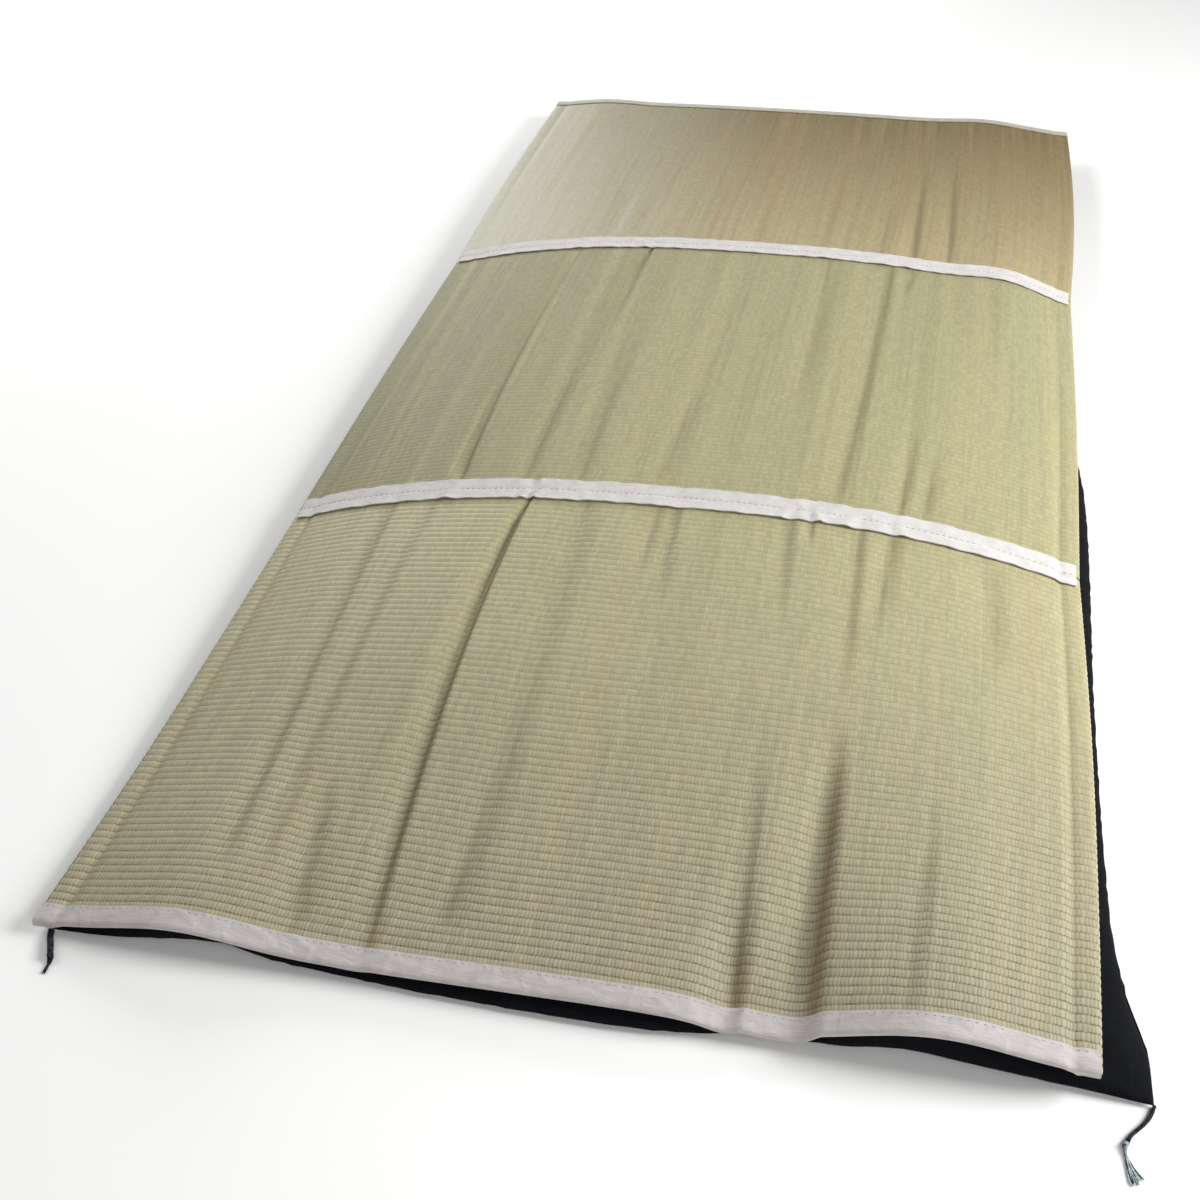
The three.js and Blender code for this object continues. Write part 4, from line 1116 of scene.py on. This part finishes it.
# %% [markdown]
# Near the seam the cover gathers into small puckers, and at each corner a few creases run to the tip. Both
# are soft waves that die away inwards. The waves are sums of sines whose lengths don't match, so no two
# look alike.

# %% Puckers and creases of the cover
PUCKER_PITCH = 27 * MM
PUCKER_DEPTH = 1.9 * MM
PUCKER_REACH = 17 * MM
TIP_CREASES = 9
TIP_CREASE_DEPTH = 1.5 * MM
TIP_CREASE_REACH = 55 * MM
TIP_FLAT = 12 * MM


def puckers(along_seam, inset):
    """Small uneven waves along a seam."""
    turns = 2 * math.pi * along_seam / PUCKER_PITCH
    wave = np.sin(turns + 1.6 * np.sin(0.31 * turns)) * (0.65 + 0.35 * np.sin(0.43 * turns + 2))
    return PUCKER_DEPTH * wave * bell(inset / PUCKER_REACH)


def tip_creases(x, y):
    """Creases that run out to the four corner tips."""
    total = 0
    for tip_x, tip_y in CORNERS:
        away = np.hypot(x - tip_x, y - tip_y)
        angle = np.arctan2(y - tip_y, x - tip_x)
        crease = np.sin(TIP_CREASES * angle + 9 * away)
        total = total + crease * bell(away / TIP_CREASE_REACH) * ease(away, 0, TIP_FLAT)
    return TIP_CREASE_DEPTH * total


print("a pucker every", round(PUCKER_PITCH / MM), "mm")

# %% Model the mattress
MATTRESS_BOTTOM = 0.2 * MM
SEAM_EASE = 3 * MM
SEAM_WAVE_SHARE = 0.35
SEAM_WAVE_REACH = 4 * MM


def mattress_face(name, upper):
    """The mattress's top or bottom cloth."""
    def place(column, row):
        rough_y = rows_at[row]
        x = fitted(columns_at, column, side_x("left", rough_y), side_x("right", rough_y))
        y = fitted(rows_at, row, end_y("foot", x), end_y("head", x))
        from_side = np.minimum(x - side_x("left", y), side_x("right", y) - x)
        from_end = np.minimum(y - end_y("foot", x), end_y("head", x) - y)
        inset = np.maximum(np.minimum(from_side, from_end), 0)
        full = np.ones(len(x))
        rounding = MATTRESS_ROUNDING if upper else BOTTOM_ROUNDING
        for distance in (from_side, from_end):
            full *= np.sqrt(1 - (1 - np.clip(distance / rounding, 0, 1)) ** 2)
        ceiling = under_mat(x, y, INNER_STEP / 2)
        seam = np.minimum(mix(SEAM_SHARE * ceiling, TIP_HEIGHT, near_corner(x, y)), ceiling)
        gathered = np.where(from_side < from_end, puckers(y, inset), puckers(x + 0.4, inset))
        gathered *= 1 - near_corner(x, y)
        loose = gathered + tip_creases(x, y)
        if upper:
            z = np.minimum(mix(seam, ceiling, full) + loose * ease(inset, 0, SEAM_EASE), ceiling)
        else:
            z = np.maximum(seam * (1 - full), MATTRESS_BOTTOM)
        outward = SEAM_WAVE_SHARE * gathered * bell(inset / SEAM_WAVE_REACH)
        at_side = from_side < from_end
        x = x + outward * np.where(at_side, np.sign(x), 0)
        y = y + outward * np.where(at_side, 0, np.sign(y))
        return np.stack([x, y, z], axis=1)

    def cloth_place(column, row):
        return np.stack([columns_at[column] - columns_at[0], rows_at[row] - rows_at[0]], axis=1)

    return lay_grid(name, len(columns_at) - 1, len(rows_at) - 1, place, cloth_place)[0]


bottom = mattress_face("mattress_bottom", upper=False)
mattress = mattress_face("mattress_cover", upper=True)
select_only(mattress, bottom)
bpy.ops.object.join()
bpy.ops.object.mode_set(mode="EDIT")
bpy.ops.mesh.select_all(action="SELECT")
bpy.ops.mesh.remove_doubles(threshold=0.05 * MM)
bpy.ops.mesh.normals_make_consistent(inside=False)
bpy.ops.object.mode_set(mode="OBJECT")
finish_piece(mattress, mattress_cotton, "futon_mattress")
print(f"{mattress.name}: {2 * len(mattress.data.polygons)} triangles")

# %% [markdown]
# ## Tassels
#
# A tassel hangs at each foot corner of the mattress and lies on the floor: a cord of three plies twisted
# together, a head bound with thread, and loose strands. Each ply, binding and strand is a round cord along
# its own line. A curve with a round bevel gives that, and it is turned into a mesh so that all can be
# joined.

# %% Yarn of the tassels
def yarn(name, colour, glint_colour, roughness):
    """Spun cotton yarn, with painted highlights: fine pale flecks where its fibres catch the light."""
    material, tree, shader = new_material(name, colour, {
        "Roughness": roughness, "IOR": COTTON_IOR, "Specular IOR Level": 0.2,
    })
    place = add_node(tree, "TexCoord")
    flecks = add_node(tree, "TexNoise", {"Vector": place.outputs["Object"], "Scale": 900.0, "Detail": 2.0})
    patches = add_node(tree, "TexNoise", {"Vector": place.outputs["Object"], "Scale": 220.0, "Detail": 2.0})
    both = add_node(tree, "Math", {0: flecks, 1: patches}, operation="ADD")
    # Painted highlights: the pale colour is mixed in where the flecks and patches run high.
    pale = add_node(tree, "MapRange", {0: both, 1: 0.85, 2: 1.25, 3: 0.0, 4: 1.0})
    tone = add_node(tree, "Mix", {0: pale, 6: linear(colour), 7: linear(glint_colour)}, data_type="RGBA")
    tree.links.new(tone.outputs[2], shader.inputs["Base Color"])
    bump = add_node(tree, "Bump", {"Strength": 0.8, "Distance": 0.3 * MM, "Height": flecks})
    tree.links.new(bump.outputs[0], shader.inputs["Normal"])
    return material


cord_yarn = yarn("navy_cord_yarn", "#0E0F14", "#3A4048", 0.8)
# The strand yarn is a pale copy of the cord yarn: painted highlight on the loose strands.
strand_yarn = yarn("tassel_yarn_painted_highlight", "#7F9095", "#C2D0D0", 0.8)


def round_cord(points, radii, material):
    """A round cord along points, as a mesh."""
    curve = bpy.data.curves.new("cord", "CURVE")
    curve.dimensions = "3D"
    curve.bevel_depth = 1
    curve.bevel_resolution = 2
    curve.use_fill_caps = True
    spline = curve.splines.new("POLY")
    spline.points.add(len(points) - 1)
    spline.points.foreach_set("co", np.column_stack([points, np.ones(len(points))]).ravel())
    spline.points.foreach_set("radius", np.broadcast_to(radii, len(points)).astype(float))
    curve.materials.append(material)
    cord = bpy.data.objects.new("cord", curve)
    bpy.context.scene.collection.objects.link(cord)
    select_only(cord)
    bpy.ops.object.convert(target="MESH")
    return bpy.context.object


print("yarns:", cord_yarn.name, strand_yarn.name)

# %% [markdown]
# The route of each cord over the floor is a short list of points. The plies wind round it as helices, the
# head's thread winds round the head, and the strands fan out level on the floor, some lying over others.

# %% Model the tassels
TASSEL_HEAD_LENGTH = 9 * MM
CORD_TWIST_PITCH = 8 * MM
THREAD_RADIUS = 0.45 * MM
THREAD_TURNS = 9
PLY_RADIUS_SHARE = 0.54
STRAND_RADIUS = 0.62 * MM
STRAND_CRIMP = 0.5 * MM
STRAND_LIFT = 0.6 * MM
STRAND_LAYERS = 3
STRAND_LAYER_LIFT = 1.3 * MM
STRAND_BENDS_AT = 0.3
STRAND_POINTS = 16
TASSELS = {
    "right": {
        "route": MM * np.array([[490.6, -990.9], [488.6, -997.7], [485.7, -1004.3], [481.2, -1010.9],
                                [476.1, -1016.8], [472, -1022], [470.2, -1025.7]]),
        "cord_radius": 1.6 * MM, "head_radius": 2.1 * MM,
        "strands": 21, "length": 30 * MM, "spread": 0.34, "turn": 0.62,
        # Pale and dark copies of one yarn alternate: the pale ones carry painted highlight.
        "strand_yarns": (strand_yarn, cord_yarn, strand_yarn),
    },
    "left": {
        "route": MM * np.array([[-432, -990], [-429, -998.3], [-424.7, -1006.3], [-421.3, -1013]]),
        "cord_radius": 2.9 * MM, "head_radius": 3 * MM,
        "strands": 13, "length": 13 * MM, "spread": 0.3, "turn": -0.34,
        "strand_yarns": (cord_yarn,),
    },
}


def along_route(route, height, count):
    """Evenly numbered points and sideways directions on the smooth line through a route."""
    steps = np.linspace(0, len(route) - 1, count)
    numbers = np.arange(len(route))
    points = np.column_stack([smooth_through(numbers, route[:, 0], steps),
                              smooth_through(numbers, route[:, 1], steps), np.full(count, height)])
    forward = np.gradient(points, axis=0)
    forward /= np.linalg.norm(forward, axis=1)[:, None]
    sideways = np.cross(forward, (0, 0, 1))
    return points, forward, sideways


def wound(points, sideways, radius, turns, start):
    """Points that wind round a level line."""
    angle = (start + 2 * math.pi * turns * np.linspace(0, 1, len(points)))[:, None]
    return points + radius * (np.cos(angle) * sideways + np.sin(angle) * np.array((0, 0, 1)))


def strand_line(spec, number, centre, away, across):
    """A loose strand: it leaves the head, bends to its own direction and sinks to the floor."""
    share = number / (spec["strands"] - 1) - 0.5
    layer = number % STRAND_LAYERS
    reach = (TASSEL_HEAD_LENGTH / 2 + spec["length"]) * (1 - 0.05 * layer - 0.06 * math.sin(5 * number))
    start = centre + across * share * spec["head_radius"] * 1.3
    bend = start + away * reach * STRAND_BENDS_AT
    heading = math.atan2(away[1], away[0])
    angle = heading + spec["turn"] + share * spec["spread"] + 0.05 * math.sin(7 * number)
    tip = start + reach * np.array((math.cos(angle), math.sin(angle), 0))
    t = np.linspace(0, 1, STRAND_POINTS)[:, None]
    line = (1 - t) ** 2 * start + 2 * t * (1 - t) * bend + t**2 * tip
    line += STRAND_CRIMP * t * np.sin(9 * t + number) * across
    radius = STRAND_RADIUS + 0.1 * MM * math.sin(3 * number)
    line[:, 2] = radius + (1 - t[:, 0]) ** 2 * (STRAND_LIFT + STRAND_LAYER_LIFT * layer)
    return line, radius * (1 - 0.25 * t[:, 0] ** 3)


def tassel(side):
    """A twisted cord, a bound head and loose strands, as one mesh."""
    spec = TASSELS[side]
    points, forward, sideways = along_route(spec["route"], spec["cord_radius"], 60)
    length = np.linalg.norm(np.diff(points, axis=0), axis=1).sum()
    turns = length / CORD_TWIST_PITCH
    ply_radius = PLY_RADIUS_SHARE * spec["cord_radius"]
    parts = []
    for ply in range(3):
        line = wound(points, sideways, spec["cord_radius"] - ply_radius, turns, 2 * math.pi * ply / 3)
        parts.append(round_cord(line, ply_radius, cord_yarn))

    away, across = forward[-1], sideways[-1]
    centre = points[-1] + away * TASSEL_HEAD_LENGTH / 2
    centre[2] = spec["head_radius"]
    along = np.linspace(-0.5, 0.5, 90)
    bulge = np.sqrt(1 - (1.7 * along) ** 2)
    axis = centre + along[:, None] * away * TASSEL_HEAD_LENGTH
    core_radius = (spec["head_radius"] - 2 * THREAD_RADIUS) * bulge
    thread = wound(axis, across, (core_radius + THREAD_RADIUS)[:, None], THREAD_TURNS, 0)
    parts.append(round_cord(axis, core_radius, cord_yarn))
    parts.append(round_cord(thread, THREAD_RADIUS, cord_yarn))

    yarns = spec["strand_yarns"]
    for number in range(spec["strands"]):
        line, radii = strand_line(spec, number, centre, away, across)
        parts.append(round_cord(line, radii, yarns[number % len(yarns)]))

    select_only(*parts)
    bpy.ops.object.join()
    piece = bpy.context.object
    piece.name = f"yarn_tassel_{side}"
    bpy.ops.object.shade_smooth()
    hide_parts(f"tassel_{side}")
    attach(piece, "root")
    print(f"{piece.name}: a {length / MM:.0f} mm cord and {spec['strands']} strands")


for side in TASSELS:
    tassel(side)

# %% [markdown]
# ## Floor and light
#
# The mat lies on a plain, nearly white floor. A low, broad lamp on the right skims over the folds, so their
# right flanks are bright and their left flanks dark. A second low lamp behind the head end on the left puts
# a pale shine on the rush there. Two weaker ones, and a little light from all round, fill the shadows.

# %% Floor
FLOOR_SIZE = 14.0
FLOOR_DROP = 0.3 * MM

bpy.ops.object.select_all(action="DESELECT")
bpy.ops.mesh.primitive_plane_add(size=FLOOR_SIZE, location=(0, 0, -FLOOR_DROP))
floor = bpy.context.object
floor.name = "floor"
floor_finish = {"Roughness": 0.9, "Specular IOR Level": 0.1}
floor.data.materials.append(new_material("matt_white_floor", "#FBFBFA", floor_finish)[0])
print("floor:", FLOOR_SIZE, "m wide")

# %% Light
SURROUND_STRENGTH = 0.1
LAMPS = [
    # name, place, size, power
    ("right_window", (2.4, -0.3, 1.25), 1.4, 101),
    ("rear_left_window", (-1.9, 2.9, 1.2), 1.4, 95),
    ("front_lamp", (1.5, -3.2, 2.0), 2.0, 47),
    ("left_lamp", (-2.8, 0.0, 1.8), 1.6, 30),
]

world = bpy.data.worlds.new("white_studio")
bpy.context.scene.world = world
world.use_nodes = True
world.node_tree.nodes["Background"].inputs["Color"].default_value = linear("#FFFFFF")
world.node_tree.nodes["Background"].inputs["Strength"].default_value = SURROUND_STRENGTH
for name, place, size, power in LAMPS:
    bpy.ops.object.light_add(type="AREA", location=place)
    lamp = bpy.context.object
    lamp.name = name
    lamp.data.size = size
    lamp.data.energy = power
    lamp.rotation_mode = "QUATERNION"
    lamp.rotation_quaternion = (-Vector(place)).to_track_quat("-Z", "Y")
bpy.context.scene.view_settings.view_transform = "Standard"
print("lamps:", ", ".join(name for name, *_ in LAMPS))
